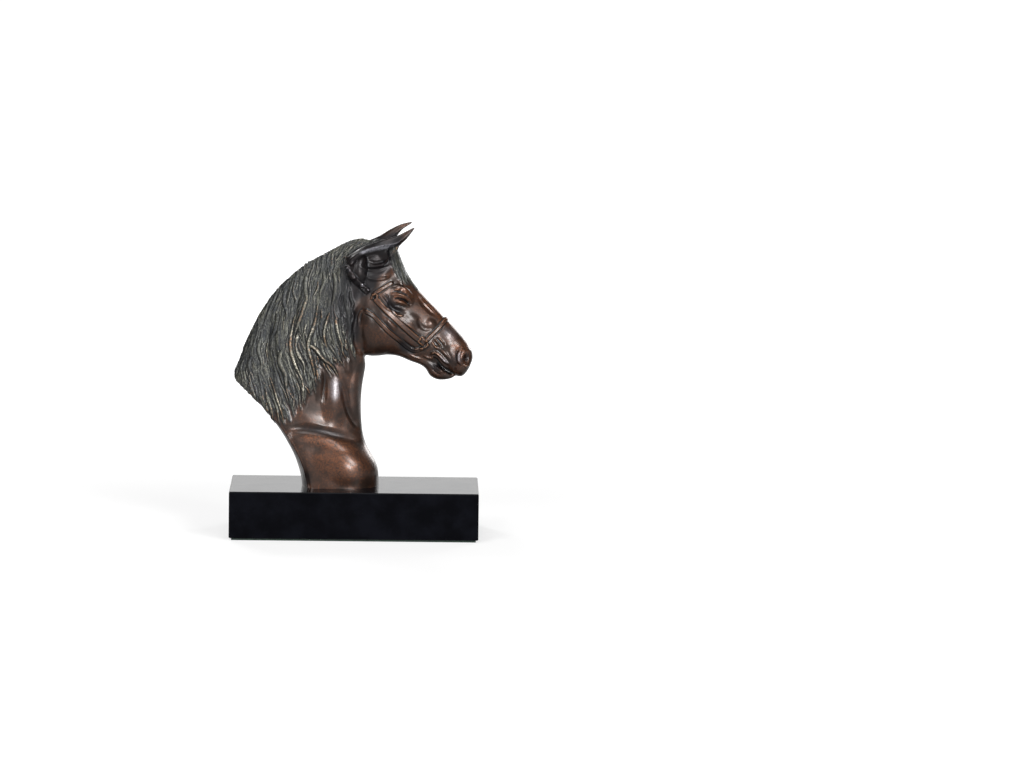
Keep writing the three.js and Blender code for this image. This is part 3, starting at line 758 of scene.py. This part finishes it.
class Hair(Relief):
    """Locks of hair over one side: their heights, the skin they cover and each strand's own tone."""

    STRAND, STRAND_HEIGHT = 0.62, 0.4  # a strand's width and its height over the lock, in mm
    SPACING = 1.4
    SAMPLES = 120  # points along each guide line
    TURN = 6.3  # a full turn in radians, for the start of a wave

    def __init__(self, seed):
        super().__init__()
        self.cover = Relief()
        self.tone = Relief()
        self.rng = np.random.default_rng(seed)

    def lock(self, knots, half, height, shine=0.0):
        """One lock: a rounded ridge cut into strands that run together at its pointed tip. Shine is added
        to its strands' tones, which puts the whole lock above 1, where the patina is rubbed off."""
        rng = self.rng
        knots = np.asarray(knots, float)
        length = np.linalg.norm(np.diff(knots, axis=0), axis=1).sum()
        line = through(knots, max(5, int(length / self.SPACING)))
        margin = min(0.8, 0.6 * half)
        part, distance, along = self.nearest(line, half + margin)

        # it widens over its first fifth and runs to a point over its second half
        widening = smooth_step(0.35 + along / 0.2)
        narrowing = np.clip((1 - along) / 0.5, 0.01, 1) ** 0.75
        width = half * widening * narrowing
        across = distance / width

        # its strands waver side by side; each has its own height, and stops somewhere short of the tip
        count = max(2, round(2 * half / self.STRAND))
        wave = 0.5 * np.sin(along * rng.uniform(4, 9) * length / 20 + rng.uniform(0, self.TURN))
        strand = (across * (1 + 0.12 * wave) + 1) / 2 * count + 0.3 * wave
        number = np.clip(np.floor(strand), 0, count - 1).astype(int)
        level = rng.uniform(0.3, 1.0, count)[number]
        stop = rng.uniform(0.65, 1.15, count)[number]
        ridge = np.sqrt(np.clip(1 - (2 * (strand - number) - 1) ** 2, 0, 1))
        ridge *= level * np.clip((stop - along) / 0.08, 0, 1)

        # the round body sinks into the hair below it at the tip, and a little at the root
        body = np.sqrt(np.clip(1 - across**2, 0, 1))
        sink = np.clip((1 - along) / 0.3, 0, 1) * smooth_step(0.2 + along / 0.15)
        rise = body * (height + self.STRAND_HEIGHT * ridge) * (0.25 + 0.75 * sink)
        value = np.where(np.abs(across) < 1, rise, 0)
        window = self.height[part]
        tones = np.clip(rng.uniform(0.1, 0.9) + rng.uniform(-0.35, 0.35, count), 0, 1)[number] + shine
        self.tone.height[part] = np.where(value > window, tones, self.tone.height[part])
        np.maximum(window, value, out=window)
        covered = self.cover.height[part]
        np.maximum(covered, np.clip((width + margin - np.abs(distance)) / margin, 0, 1), out=covered)

    def locks(self, guides, count, start, long, half, height, wander=1.0):
        """Many locks between the guide lines, each with its own start, length, width, height and waves.
        start and long are shares of a guide line. wander is how freely the locks leave their lines."""
        rng = self.rng
        guides = np.stack([through(g, self.SAMPLES) for g in guides])
        t = np.linspace(0, 1, self.SAMPLES)
        for k in range(count):
            place = (k + rng.uniform(0, 1)) / count * (len(guides) - 1)
            g = min(int(place), len(guides) - 2)
            line = guides[g] * (1 - place + g) + guides[g + 1] * (place - g)
            ahead = np.gradient(line, axis=0)
            ahead /= np.maximum(np.linalg.norm(ahead, axis=1, keepdims=True), 1e-9)
            across = np.stack([-ahead[:, 1], ahead[:, 0]], axis=1)
            wave = np.sin(t * rng.uniform(5, 14) + rng.uniform(0, self.TURN)) * rng.uniform(0.3, 1.2)
            curl = np.sin(t * rng.uniform(28, 48) + rng.uniform(0, self.TURN)) * rng.uniform(0.1, 0.5)
            slide = (t - 0.5) * rng.uniform(-2.5, 2.5)
            line = line + across * ((wave + curl + slide) * wander)[:, None]
            first = rng.uniform(*start)
            last = min(1.0, first + rng.uniform(*long))
            piece = line[(t >= first) & (t <= last)][::3]
            if len(piece) > 2:
                self.lock(piece, rng.uniform(*half), rng.uniform(*height))


def near_hair():
    """The mane, the poll and the forelock: wide locks first, then finer and shorter ones over them."""
    hair = Hair(7)
    for guides, many in ((MANE, 1.0), (POLL, 0.2)):
        hair.locks(guides, int(66 * many), (0, 0.02), (0.75, 1.0), (2.2, 3.4), (0.15, 0.35))
        hair.locks(guides, int(150 * many), (0, 0.6), (0.25, 0.5), (1.0, 1.8), (0.25, 0.55))
        hair.locks(guides, int(240 * many), (0, 0.8), (0.12, 0.3), (0.45, 0.9), (0.35, 0.85))
        hair.locks(guides, int(260 * many), (0, 0.9), (0.05, 0.12), (0.35, 0.6), (0.45, 0.85), 1.6)
    hair.locks(FRINGE, 16, (0, 0.7), (0.25, 0.5), (0.45, 0.8), (0.1, 0.35))
    hair.locks(FORELOCK, 9, (0, 0.1), (0.7, 1.0), (1.0, 1.7), (0.1, 0.4), 0.4)
    hair.locks(FORELOCK, 18, (0, 0.5), (0.3, 0.6), (0.5, 0.9), (0.2, 0.5), 0.4)
    for knots, half, height in LOCKS:
        hair.lock(knots, half, 0.9 * height)
    for knots, half, height in BRIGHT_LOCKS:
        hair.lock(knots, 0.8 * half, height, 1.2)
    return hair


def far_hair():
    """The poll and the forelock, and the short ends of the mane that show over the crest."""
    hair = Hair(11)
    hair.locks(FAR_POLL, 18, (0, 0.05), (0.55, 1.0), (1.3, 2.0), (0.15, 0.35), 0.5)
    hair.locks(FAR_POLL, 60, (0, 0.7), (0.25, 0.5), (0.5, 0.9), (0.3, 0.6), 0.8)
    hair.locks(FORELOCK, 9, (0, 0.1), (0.7, 1.0), (1.0, 1.7), (0.1, 0.4), 0.4)
    hair.locks(FORELOCK, 14, (0, 0.5), (0.3, 0.6), (0.6, 1.0), (0.3, 0.6), 0.4)
    over_the_poll = 8
    crest = through([line[0] for line in MANE] + [(-66, 121), (-70, 110), (-73, 100)], 110)
    for x, z in crest[over_the_poll:]:
        down, back = hair.rng.uniform(3.0, 5.0), hair.rng.uniform(0.5, 2.5)
        tuft = [(x + 1.2, z + 1.5), (x - back * 0.4, z - down * 0.5), (x - back, z - down)]
        hair.lock(tuft, 0.9, hair.rng.uniform(0.3, 0.8))
    return hair


# ---------------------------------------------------------------- stains in the patina, and painted shade and highlights

def near_stains_and_painted_light():
    """Where the near side is painted near-black (blackened patina, and painted shade in creases, hollows
    and round the eye and ear), where it is rubbed warm, and where painted highlights lie on its ridge,
    nose, lips and ear rim.
    """
    dark_patina_and_shade, warm, painted_highlight = Relief(), Relief(), Relief()
    # painted shade mixed with blackened patina, in the mounds and strokes below: round the ear and eye, on
    # the chin, muzzle and nostril, and in the creases and grooves
    dark_patina_and_shade.mounds(
        (7, 164, 24, 14, 2.6, 18),
        (2, 152, 14, 12, 2.4),
        (23, 137.5, 9, 4.5, 1.3, -20),
        (19, 143, 6, 6, 0.8),
        (50, 100, 11, 8, 0.75, -40),
        (60, 107, 9, 11, 0.7),
        (28, 119, 9, 6, 0.5, -40),
        (67.2, 107.6, 3.0, 4.8, 0.9, -16),
    )
    dark_patina_and_shade.strokes(
        ([(-4, 166), (6, 172), (16, 176), (25, 179), (31, 183)], 5.5, 1.3, (0.1, 0.3)),
        ([(-6, 158), (-4.5, 142), (-3.5, 126), (-3, 110)], 9, 1.1),
        (LID_GROOVE, 1.5, 0.7),
        (EYE_SLIT, 1.5, 0.9),
        ([(-14, 160), (-14, 142), (-11, 122)], 11, 0.75),
        ([(3, 108), (0, 122), (1, 134)], 4.5, 0.4),
        ([(8, 137), (17, 129), (27, 119.5)], 4.0, 0.5),
        ([(24, 117), (31, 112.5), (39, 110)], 5.0, 1.0),
        ([(42, 108), (47, 103), (52, 99)], 4.0, 0.3),
        (FOOT_CREASE, 4.0, 0.8),
        ([(-8, 104), (-6, 92), (-4, 80), (0, 68)], 4.0, 0.5),
        ([(-30, 40), (-29, 33), (-28, 26)], 6.0, 0.7),
    )
    warm.mounds(
        (28, 145, 9.5, 7.5, 1.7, -20),
        (16, 156, 8, 4.5, 0.8, 25),
        (-18, 71, 9, 7, 0.7),
        (-18, 86, 5, 14, 0.5),
        (-8, 42, 30, 16, 1.0),
        (50, 99, 8, 6, 0.9),
        (64, 110, 9, 13, 1.1),
        (14, 120, 14, 12, 0.5),
    )
    warm.strokes(
        ([(-39, 58), (-26, 57), (-10, 53.5), (7, 48)], 5.5, 1.1),
        ([(30, 155), (42, 143), (54, 131), (66, 118)], 6.0, 0.9),
    )
    # painted highlights, laid as a light grey on the nose, the neck's ridge, the ear's rim, the nostril's
    # rim and the lip
    painted_highlight.mound(56, 122, 7, 5, 0.3, -40)
    painted_highlight.stroke([(-12.5, 97), (-12, 88), (-12.5, 78)], 4.5, 0.7)
    painted_highlight.strokes(
        ([(1, 170), (8, 172.2), (14.5, 173.7), (22, 175.4), (27, 178)], 1.7, 1.1, (0.1, 0.4)),
        ([(63.8, 103.5), (62.2, 106.5), (62.3, 109.6), (64, 112)], 1.5, 0.5),
        ([(50, 109), (53, 106.2), (56.5, 103.5)], 1.2, 0.5),
    )
    return dark_patina_and_shade, warm, painted_highlight


def far_stains_and_painted_light():
    """The same for the far side, which is redder all over. Its near-black map holds blackened patina and
    painted shade in its valleys, behind the jaw, by the ear and by the mouth; it has no painted highlights.
    """
    dark_patina_and_shade, warm, painted_highlight = Relief(), Relief(), Relief()
    # painted shade mixed with blackened patina, in the mounds and strokes below: behind the jaw, by the
    # ear, in the neck's valleys and by the mouth
    dark_patina_and_shade.mounds(
        (-2, 112, 7, 9, 1.0),
        (12, 168, 12, 4, 0.8, 10),
        (-27, 95, 3.5, 18, 0.5),
    )
    dark_patina_and_shade.strokes(
        ([(-19, 149), (-30, 138), (-40, 124.5), (-46.3, 111), (-49.5, 98)], 3.0, 0.8),
        ([(42, 104), (50, 100), (57, 96)], 5.0, 0.6),
    )
    warm.height += 0.6
    warm.mounds(
        (27, 147, 11, 9, 1.0),
        (14, 118, 13, 10, 0.9),
        (-15, 85, 20, 20, 0.7),
        (-12, 38, 20, 12, 1.0),
        (-2, 162, 7, 7, 0.8),
    )
    return dark_patina_and_shade, warm, painted_highlight


# ---------------------------------------------------------------- the casting

def side_share(normal):
    """How much of the near side's map a point takes, by the way its skin faces. The far side's map gives
    the rest. The two blend where the skin faces within about 20 degrees of up, down, front or back."""
    blend = 0.7
    return smooth_step(0.5 - normal[:, 1] / blend)


def sight_drop(z):
    """How much lower a point looks for each mm that it stands out, to an eye a little above the plinth."""
    return 0.145 - 0.00022 * z


def on_ear(points):
    """1 on the free blade of each ear, which the relief maps leave alone, and 0 elsewhere."""
    root_slope, root_height, blend = 0.42, 167.2, 1.5
    outwards, behind = 8.5, -7
    x, y, z = points.T
    above_root = np.clip((z - root_slope * x - root_height) / blend, 0, 1)
    return above_root * (np.abs(y) > outwards) * (x > behind)


def both_sides(points, share, near, far):
    """What the two sides' maps say at the points, each by its share."""
    x, z = points[:, 0], points[:, 2] - sight_drop(points[:, 2]) * np.abs(points[:, 1])
    return share * near.at(x, z) + (1 - share) * far.at(x, z)


def smoothed(value, edges, rounds):
    """One number for each point, evened out over its neighbours."""
    return relaxed(value[:, None], edges, rounds)[:, 0]


def horse_bust():
    """The casting's skin in mm, its quads, and the values that its material reads at each point."""
    hair_depth = 0.35
    coarse_voxel, coarse_smoothing = 0.8, 8
    fine_voxel, fine_smoothing = 0.36, 6
    masses = [mass(NECK, 150), mass(HEAD, 110), mass(JAW, 50)]
    points, quads, _ = remeshed(*joined(masses), coarse_voxel, coarse_smoothing)
    ears = [ear(NEAR_EAR, NEAR), ear(FAR_EAR, FAR)]
    ears += [part(side) for part in (ear_rim, ear_back) for side in (NEAR, FAR)]
    bodies = [(points, quads.tolist()), *ears]
    points, quads, edges = remeshed(*joined(bodies), fine_voxel, fine_smoothing)

    normal = normals_of(points, quads)
    share = side_share(normal)
    quiet = 1 - np.clip(smoothed(on_ear(points), edges, 6) * 1.3, 0, 1)
    forms = both_sides(points, share, near_forms(), far_forms())
    points = points + normal * (forms * quiet)[:, None]

    near, far = near_hair(), far_hair()
    near_detail, far_detail = Relief(), Relief()
    for side, eye, bridle in ((near_detail, near_eye, near_bridle), (far_detail, far_eye, far_bridle)):
        lips_and_nostril(side)
        eye(side)
        bridle(side)
    near_detail.stroke(NEAR_CUT_EDGE, 0.9, 0.55, (0.1, 0))
    far_detail.stroke(FAR_CUT_EDGE, 0.9, 0.5, (0.2, 0))
    normal = normals_of(points, quads)
    share = side_share(normal)
    fur = both_sides(points, share, near.cover, far.cover) * quiet
    under_hair = 0.8
    detail = both_sides(points, share, near_detail, far_detail) * (1 - under_hair * fur)
    strands = both_sides(points, share, near, far)
    thickness = hair_depth * smoothed(fur, edges, 6)
    points = points + normal * ((detail + strands + thickness) * quiet)[:, None]
    points[:, 2] = np.maximum(points[:, 2], CASTING_FLOOR)

    normal = normals_of(points, quads)
    values = {
        "hair": smoothed(fur, edges, 2),
        "tone": both_sides(points, share, near.tone, far.tone),
    }
    # how far the skin stands above its own average, in mm: below zero in grooves
    for name, rounds in (("fine", 5), ("broad", 30)):
        values[name] = ((points - relaxed(points, edges, rounds)) * normal).sum(1)
    for name, near_stain_and_light, far_stain_and_light in zip(("dark_patina_and_shade", "warm", "painted_highlight"), near_stains_and_painted_light(), far_stains_and_painted_light()):
        values[name] = both_sides(points, share, near_stain_and_light, far_stain_and_light)
    return points, quads, values


def surface_object(name, points, quads, values):
    """A smooth shaded object from arrays, with its values as point attributes."""
    mesh = bpy.data.meshes.new(name)
    mesh.vertices.add(len(points))
    mesh.vertices.foreach_set("co", (points * MM).astype(np.float32).ravel())
    mesh.loops.add(quads.size)
    mesh.loops.foreach_set("vertex_index", quads.astype(np.int32).ravel())
    mesh.polygons.add(len(quads))
    mesh.polygons.foreach_set("loop_start", np.arange(0, quads.size, 4, dtype=np.int32))
    mesh.update(calc_edges=True)
    mesh.validate()
    for key, value in values.items():
        mesh.attributes.new(key, "FLOAT", "POINT").data.foreach_set("value", value.astype(np.float32))
    mesh.shade_smooth()
    return added(name, mesh)


# ---------------------------------------------------------------- materials

class Nodes:
    """A short way to write a material's node tree."""

    def __init__(self, name):
        self.material = bpy.data.materials.new(name)
        self.material.use_nodes = True
        self.tree = self.material.node_tree
        self.shader = self.tree.nodes["Principled BSDF"]

    def link(self, value, socket):
        if isinstance(value, bpy.types.NodeSocket):
            self.tree.links.new(value, socket)
        elif isinstance(value, tuple):
            socket.default_value = (*value, 1.0)
        else:
            socket.default_value = value

    def place(self):
        return self.tree.nodes.new("ShaderNodeTexCoord").outputs["Object"]

    def distance(self):
        """Metres from the middle of the object."""
        node = self.tree.nodes.new("ShaderNodeVectorMath")
        node.operation = "LENGTH"
        self.link(self.place(), node.inputs[0])
        return node.outputs["Value"]

    def attribute(self, name):
        node = self.tree.nodes.new("ShaderNodeAttribute")
        node.attribute_name = name
        return node.outputs["Fac"]

    def noise(self, size, detail=3.0, rough=0.55, stretch=(1, 1, 1)):
        """Noise from 0 to 1 whose blotches are about that many mm across."""
        scale = self.tree.nodes.new("ShaderNodeMapping")
        scale.inputs["Scale"].default_value = stretch
        self.link(self.place(), scale.inputs["Vector"])
        node = self.tree.nodes.new("ShaderNodeTexNoise")
        self.link(scale.outputs["Vector"], node.inputs["Vector"])
        node.inputs["Scale"].default_value = 1 / (size * MM)
        node.inputs["Detail"].default_value = detail
        node.inputs["Roughness"].default_value = rough
        return node.outputs["Fac"]

    def span(self, value, low, high, to_low=0.0, to_high=1.0):
        """The value from low to high, put between two other numbers and held there."""
        node = self.tree.nodes.new("ShaderNodeMapRange")
        node.interpolation_type = "SMOOTHSTEP"
        for key, number in (("From Min", low), ("From Max", high), ("To Min", to_low), ("To Max", to_high)):
            node.inputs[key].default_value = number
        self.link(value, node.inputs["Value"])
        return node.outputs["Result"]

    def math(self, operation, a, b):
        node = self.tree.nodes.new("ShaderNodeMath")
        node.operation = operation
        self.link(a, node.inputs[0])
        self.link(b, node.inputs[1])
        return node.outputs[0]

    def mix(self, share, a, b):
        node = self.tree.nodes.new("ShaderNodeMix")
        node.data_type = "RGBA"
        self.link(share, node.inputs["Factor"])
        self.link(a, node.inputs[6])
        self.link(b, node.inputs[7])
        return node.outputs[2]

    def bump(self, height, depth, strength=1.0):
        node = self.tree.nodes.new("ShaderNodeBump")
        node.inputs["Strength"].default_value = strength
        node.inputs["Distance"].default_value = depth * MM
        self.link(height, node.inputs["Height"])
        self.link(node.outputs["Normal"], self.shader.inputs["Normal"])

    def set(self, **values):
        for key, value in values.items():
            self.link(value, self.shader.inputs[key.replace("_", " ")])


def bronze_material():
    """Brown patina with red blotches, a grey-green bloom in the hair, and bright metal on rubbed edges."""
    dark_brown, light_brown = (0.024, 0.0125, 0.008), (0.056, 0.026, 0.016)
    warm_brown, red, rubbed_brown = (0.125, 0.043, 0.016), (0.16, 0.055, 0.02), (0.28, 0.13, 0.062)
    # the second colour is the near-black of painted shade and blackened patina; the third is the grey of
    # edge wear and of painted highlights
    groove, shade_and_stain, wear_and_highlight_grey = (0.004, 0.0032, 0.003), (0.0075, 0.0075, 0.0095), (0.27, 0.27, 0.30)
    dark_hair, pale_hair, blue_hair = (0.020, 0.022, 0.026), (0.150, 0.147, 0.115), (0.035, 0.040, 0.050)
    streaked_hair, speckled_hair = (0.024, 0.026, 0.026), (0.21, 0.21, 0.18)
    hair_groove, bronze, silver = (0.005, 0.0055, 0.0055), (0.26, 0.15, 0.085), (0.50, 0.46, 0.38)

    n = Nodes("bronze_patina")
    names = ("hair", "tone", "fine", "broad", "dark_patina_and_shade", "warm", "painted_highlight")
    hair_share, tone, fine, broad, dark_patina_and_shade, warm, painted_highlight = (n.attribute(name) for name in names)
    cloud = n.noise(14, 3)
    blotch = n.noise(9, 4)
    speck = n.noise(1.3, 5, 0.7)
    grain = n.noise(0.5, 3, 0.6)
    streak = n.noise(0.55, 3, 0.6, (1, 1, 0.2))

    # the skin: brown, redder in places, rubbed on its fine ridges and black in its grooves
    warmth = n.math("MULTIPLY", n.span(warm, 0, 1), n.span(speck, 0.35, 0.62))
    redness = n.math("MULTIPLY", n.span(speck, 0.50, 0.66), n.span(blotch, 0.42, 0.6))
    brown = n.mix(n.span(blotch, 0.35, 0.65), dark_brown, light_brown)
    brown = n.mix(warmth, brown, warm_brown)
    brown = n.mix(n.math("MULTIPLY", redness, 0.5), brown, red)
    brown = n.mix(n.span(fine, 0.07, 0.24, 0, 0.7), brown, rubbed_brown)
    brown = n.mix(n.span(fine, -0.03, -0.14, 0, 0.85), brown, groove)
    brown = n.mix(n.span(broad, -0.05, -0.42, 0, 0.92), brown, groove)

    # the hair: each strand its own grey-green, with metal on its ridges and on the bright locks
    green = n.mix(n.span(tone, 0.1, 0.9), dark_hair, pale_hair)
    green = n.mix(n.span(cloud, 0.40, 0.62, 0, 0.6), green, blue_hair)
    green = n.mix(n.span(streak, 0.42, 0.60, 0.7, 0), green, streaked_hair)
    green = n.mix(n.span(speck, 0.5, 0.68, 0, 0.6), green, speckled_hair)
    green = n.mix(n.span(fine, 0.015, -0.06, 0, 0.96), green, hair_groove)
    rubbed = n.math("MULTIPLY", n.span(fine, 0.08, 0.20), n.span(speck, 0.42, 0.56, 0.1, 1))
    bright = n.math("MULTIPLY", n.span(tone, 1.05, 1.4), n.span(fine, 0.0, 0.10))
    bright = n.math("MULTIPLY", bright, n.span(speck, 0.48, 0.60, 0.05, 1))
    rubbed = n.math("MAXIMUM", rubbed, bright)
    metal = n.mix(n.span(blotch, 0.42, 0.58), bronze, silver)
    green = n.mix(n.math("MULTIPLY", rubbed, 0.85), green, metal)

    # both together, with painted shade and blackened patina in near-black, and the grey of edge wear and of
    # painted highlights
    skin = n.mix(hair_share, brown, green)
    skin = n.mix(n.span(dark_patina_and_shade, 0.1, 1, 0, 0.88), skin, shade_and_stain)
    # edge wear on raised edges in the near-black areas, plus painted highlights from the highlight map
    wear_and_painted_highlight = n.math("MULTIPLY", n.span(fine, 0.10, 0.3), n.span(dark_patina_and_shade, 0.4, 1, 0, 0.55))
    wear_and_painted_highlight = n.math("MAXIMUM", wear_and_painted_highlight, n.math("MULTIPLY", painted_highlight, n.span(speck, 0.36, 0.55, 0.35, 0.9)))
    unwaxed = n.math("MAXIMUM", hair_share, dark_patina_and_shade)
    sheen = n.math("ADD", n.math("MULTIPLY", hair_share, 0.12), n.math("MULTIPLY", rubbed, -0.10))
    texture = n.math("ADD", speck, n.math("MULTIPLY", streak, hair_share))
    n.set(
        Base_Color=n.mix(wear_and_painted_highlight, skin, wear_and_highlight_grey),
        Metallic=n.span(fine, 0.02, 0.2, 0.6, 0.8),
        Roughness=n.math("ADD", n.span(grain, 0.3, 0.7, 0.32, 0.44), sheen),
        Coat_Weight=n.span(unwaxed, 0.1, 1, 0.6, 0.15),
        Coat_Roughness=0.24,
        Coat_IOR=1.5,
    )
    n.bump(n.math("ADD", grain, n.math("MULTIPLY", texture, 1.5)), 0.06)
    return n.material


def stone_material():
    """Polished black stone with a few fine grey specks and a slight wave in its polish."""
    n = Nodes("black_stone")
    cloud = n.noise(14, 4)
    crystal = n.noise(0.7, 2, 0.5)
    black, blue_black, grey = (0.0016, 0.0017, 0.0026), (0.0035, 0.0038, 0.0058), (0.02, 0.021, 0.026)
    body = n.mix(n.span(cloud, 0.35, 0.7), black, blue_black)
    n.set(
        Base_Color=n.mix(n.span(crystal, 0.70, 0.80, 0, 0.5), body, grey),
        Roughness=n.span(cloud, 0.3, 0.7, 0.12, 0.15),
        IOR=1.12,
    )
    n.bump(cloud, 0.006)
    return n.material


def felt_material():
    """Dark green felt: paler fibres over patches of two greens."""
    dark_green, green, pale_green = (0.010, 0.022, 0.016), (0.016, 0.034, 0.024), (0.035, 0.062, 0.047)
    n = Nodes("green_felt")
    fibre = n.noise(0.35, 5, 0.75)
    patch = n.noise(6, 3)
    body = n.mix(n.span(patch, 0.3, 0.7), dark_green, green)
    n.set(
        Base_Color=n.mix(n.span(fibre, 0.5, 0.75), body, pale_green),
        Roughness=n.span(fibre, 0.3, 0.7, 0.85, 1.0),
        Sheen_Weight=0.5,
        Sheen_Roughness=0.5,
    )
    n.bump(fibre, 0.35)
    return n.material


def steel_material():
    """Zinc-plated steel with fine turning lines and cloudy plating."""
    n = Nodes("plated_steel")
    lines = n.noise(0.4, 4, 0.6, (1, 1, 8))
    cloud = n.noise(3, 3)
    n.set(
        Base_Color=n.mix(n.span(cloud, 0.35, 0.65), (0.42, 0.42, 0.41), (0.55, 0.56, 0.57)),
        Metallic=1.0,
        Roughness=n.span(lines, 0.3, 0.7, 0.26, 0.44),
    )
    n.bump(lines, 0.03)
    return n.material


def paint(piece, material):
    """Gives the piece that material only."""
    piece.data.materials.clear()
    piece.data.materials.append(material)


# ---------------------------------------------------------------- stage, lights and camera

# Lengths in mm and angles in degrees. AIM is the point at the middle of the picture.
AIM = (94.7, 0, 91.9)
CAMERA_X = 28.5
CAMERA_DISTANCE = 3600
CAMERA_ELEVATION = 6.92
CAMERA_ROLL = 0.75
LENS = 209.1


def add_camera():
    """The camera stands at CAMERA_X in front of the near side, far off, with a long lens."""
    data = bpy.data.cameras.new("camera")
    data.sensor_width = 36
    data.lens = LENS
    data.clip_start = 0.1
    data.clip_end = 60
    camera = added("camera", data)
    bpy.context.scene.camera = camera
    e = math.radians(CAMERA_ELEVATION)
    eye = np.array([CAMERA_X, -CAMERA_DISTANCE * math.cos(e), AIM[2] + CAMERA_DISTANCE * math.sin(e)])
    look = np.array(AIM) - eye
    yaw = -math.atan2(look[0], look[1])
    pitch = math.atan2(look[2], math.hypot(look[0], look[1]))
    camera.location = eye * MM
    aimed = Euler((math.pi / 2 + pitch, 0, yaw)).to_matrix()
    rolled = Euler((0, 0, math.radians(CAMERA_ROLL))).to_matrix()
    camera.rotation_euler = (aimed @ rolled).to_euler()


# The lamps: name, place and the height on the axis it points at, in metres, width, height, power in watts.
# front_softbox mirrors into the camera from the ridge of the neck, right_strip from the foot and the nose,
# and left_softbox from the mane. back_card shows in the polished top of the plinth.
LIGHTS = [
    ("front_softbox", (0.62, -1.78, 0.32), 0.1, 0.34, 0.36, 16.5),
    ("right_strip", (0.95, -1.40, 0.90), 0.1, 0.45, 0.65, 20),
    ("left_softbox", (-1.04, -1.43, 0.50), 0.1, 0.4, 0.4, 7),
    ("top_softbox", (-0.1, -0.25, 1.4), 0.05, 0.8, 0.8, 8),
    ("key_softbox", (-0.6, -1.3, 1.1), 0.1, 0.4, 0.4, 6),
    ("far_strip", (0.92, 1.45, 0.70), 0.1, 0.42, 0.85, 7),
    ("far_left_softbox", (-0.75, 1.6, 0.72), 0.1, 0.5, 0.5, 12),
    ("back_card", (0, 3.0, 0.42), 0.42, 5.0, 0.84, 20),
]


def area_light(name, place, aimed_height, width, height, power):
    data = bpy.data.lights.new(name, "AREA")
    data.energy = power
    data.shape = "RECTANGLE"
    data.size = width
    data.size_y = height
    light = added(name, data)
    light.location = place
    aim = Vector((0, 0, aimed_height)) - Vector(place)
    light.rotation_euler = aim.to_track_quat("-Z", "Y").to_euler()
    light.visible_camera = False


def add_stage():
    """The light-coloured floor, the world and the lights. The floor glows a little so that it meets the
    white world, less near the object, where the photograph's floor is shaded."""
    floor_light, floor_near, floor_far = 0.12, 0.60, 1.05
    world_light, world_seen = 0.09, 1.05
    reach = 12000
    corners = [(x * reach, y * reach, 0) for x, y in ((-1, -1), (1, -1), (1, 1), (-1, 1))]
    floor = added("floor", mesh_from("floor", corners, [(0, 1, 2, 3)]))
    n = Nodes("pale_floor")
    seen = n.tree.nodes.new("ShaderNodeLightPath").outputs["Is Camera Ray"]
    glow = n.math("SUBTRACT", n.span(n.distance(), 0.15, 0.8, floor_near, floor_far), floor_light)
    n.set(
        Base_Color=(0.33, 0.33, 0.33),
        Roughness=0.9,
        Emission_Color=(1, 1, 1),
        Emission_Strength=n.math("ADD", n.math("MULTIPLY", glow, seen), floor_light),
    )
    paint(floor, n.material)

    world = bpy.data.worlds.new("studio")
    bpy.context.scene.world = world
    world.use_nodes = True
    tree = world.node_tree
    background = tree.nodes["Background"]
    background.inputs["Color"].default_value = (1, 1, 1, 1)
    seen = tree.nodes.new("ShaderNodeLightPath").outputs["Is Camera Ray"]
    strength = tree.nodes.new("ShaderNodeMix")
    strength.inputs["A"].default_value = world_light
    strength.inputs["B"].default_value = world_seen
    tree.links.new(seen, strength.inputs["Factor"])
    tree.links.new(strength.outputs["Result"], background.inputs["Strength"])

    for light in LIGHTS:
        area_light(*light)
    bpy.context.scene.view_settings.view_transform = "Standard"


# ---------------------------------------------------------------- the whole scene

bust = surface_object("horse_bust", *horse_bust())
paint(bust, bronze_material())
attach(bust, "root")
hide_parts("horse_casting")

paint(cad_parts["plinth"], stone_material())
paint(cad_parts["felt_pad"], felt_material())
steel = steel_material()
for fixing in ("stud", "washer", "nut"):
    for end in ("rear", "front"):
        paint(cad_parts[f"{fixing}_{end}"], steel)

add_stage()
add_camera()
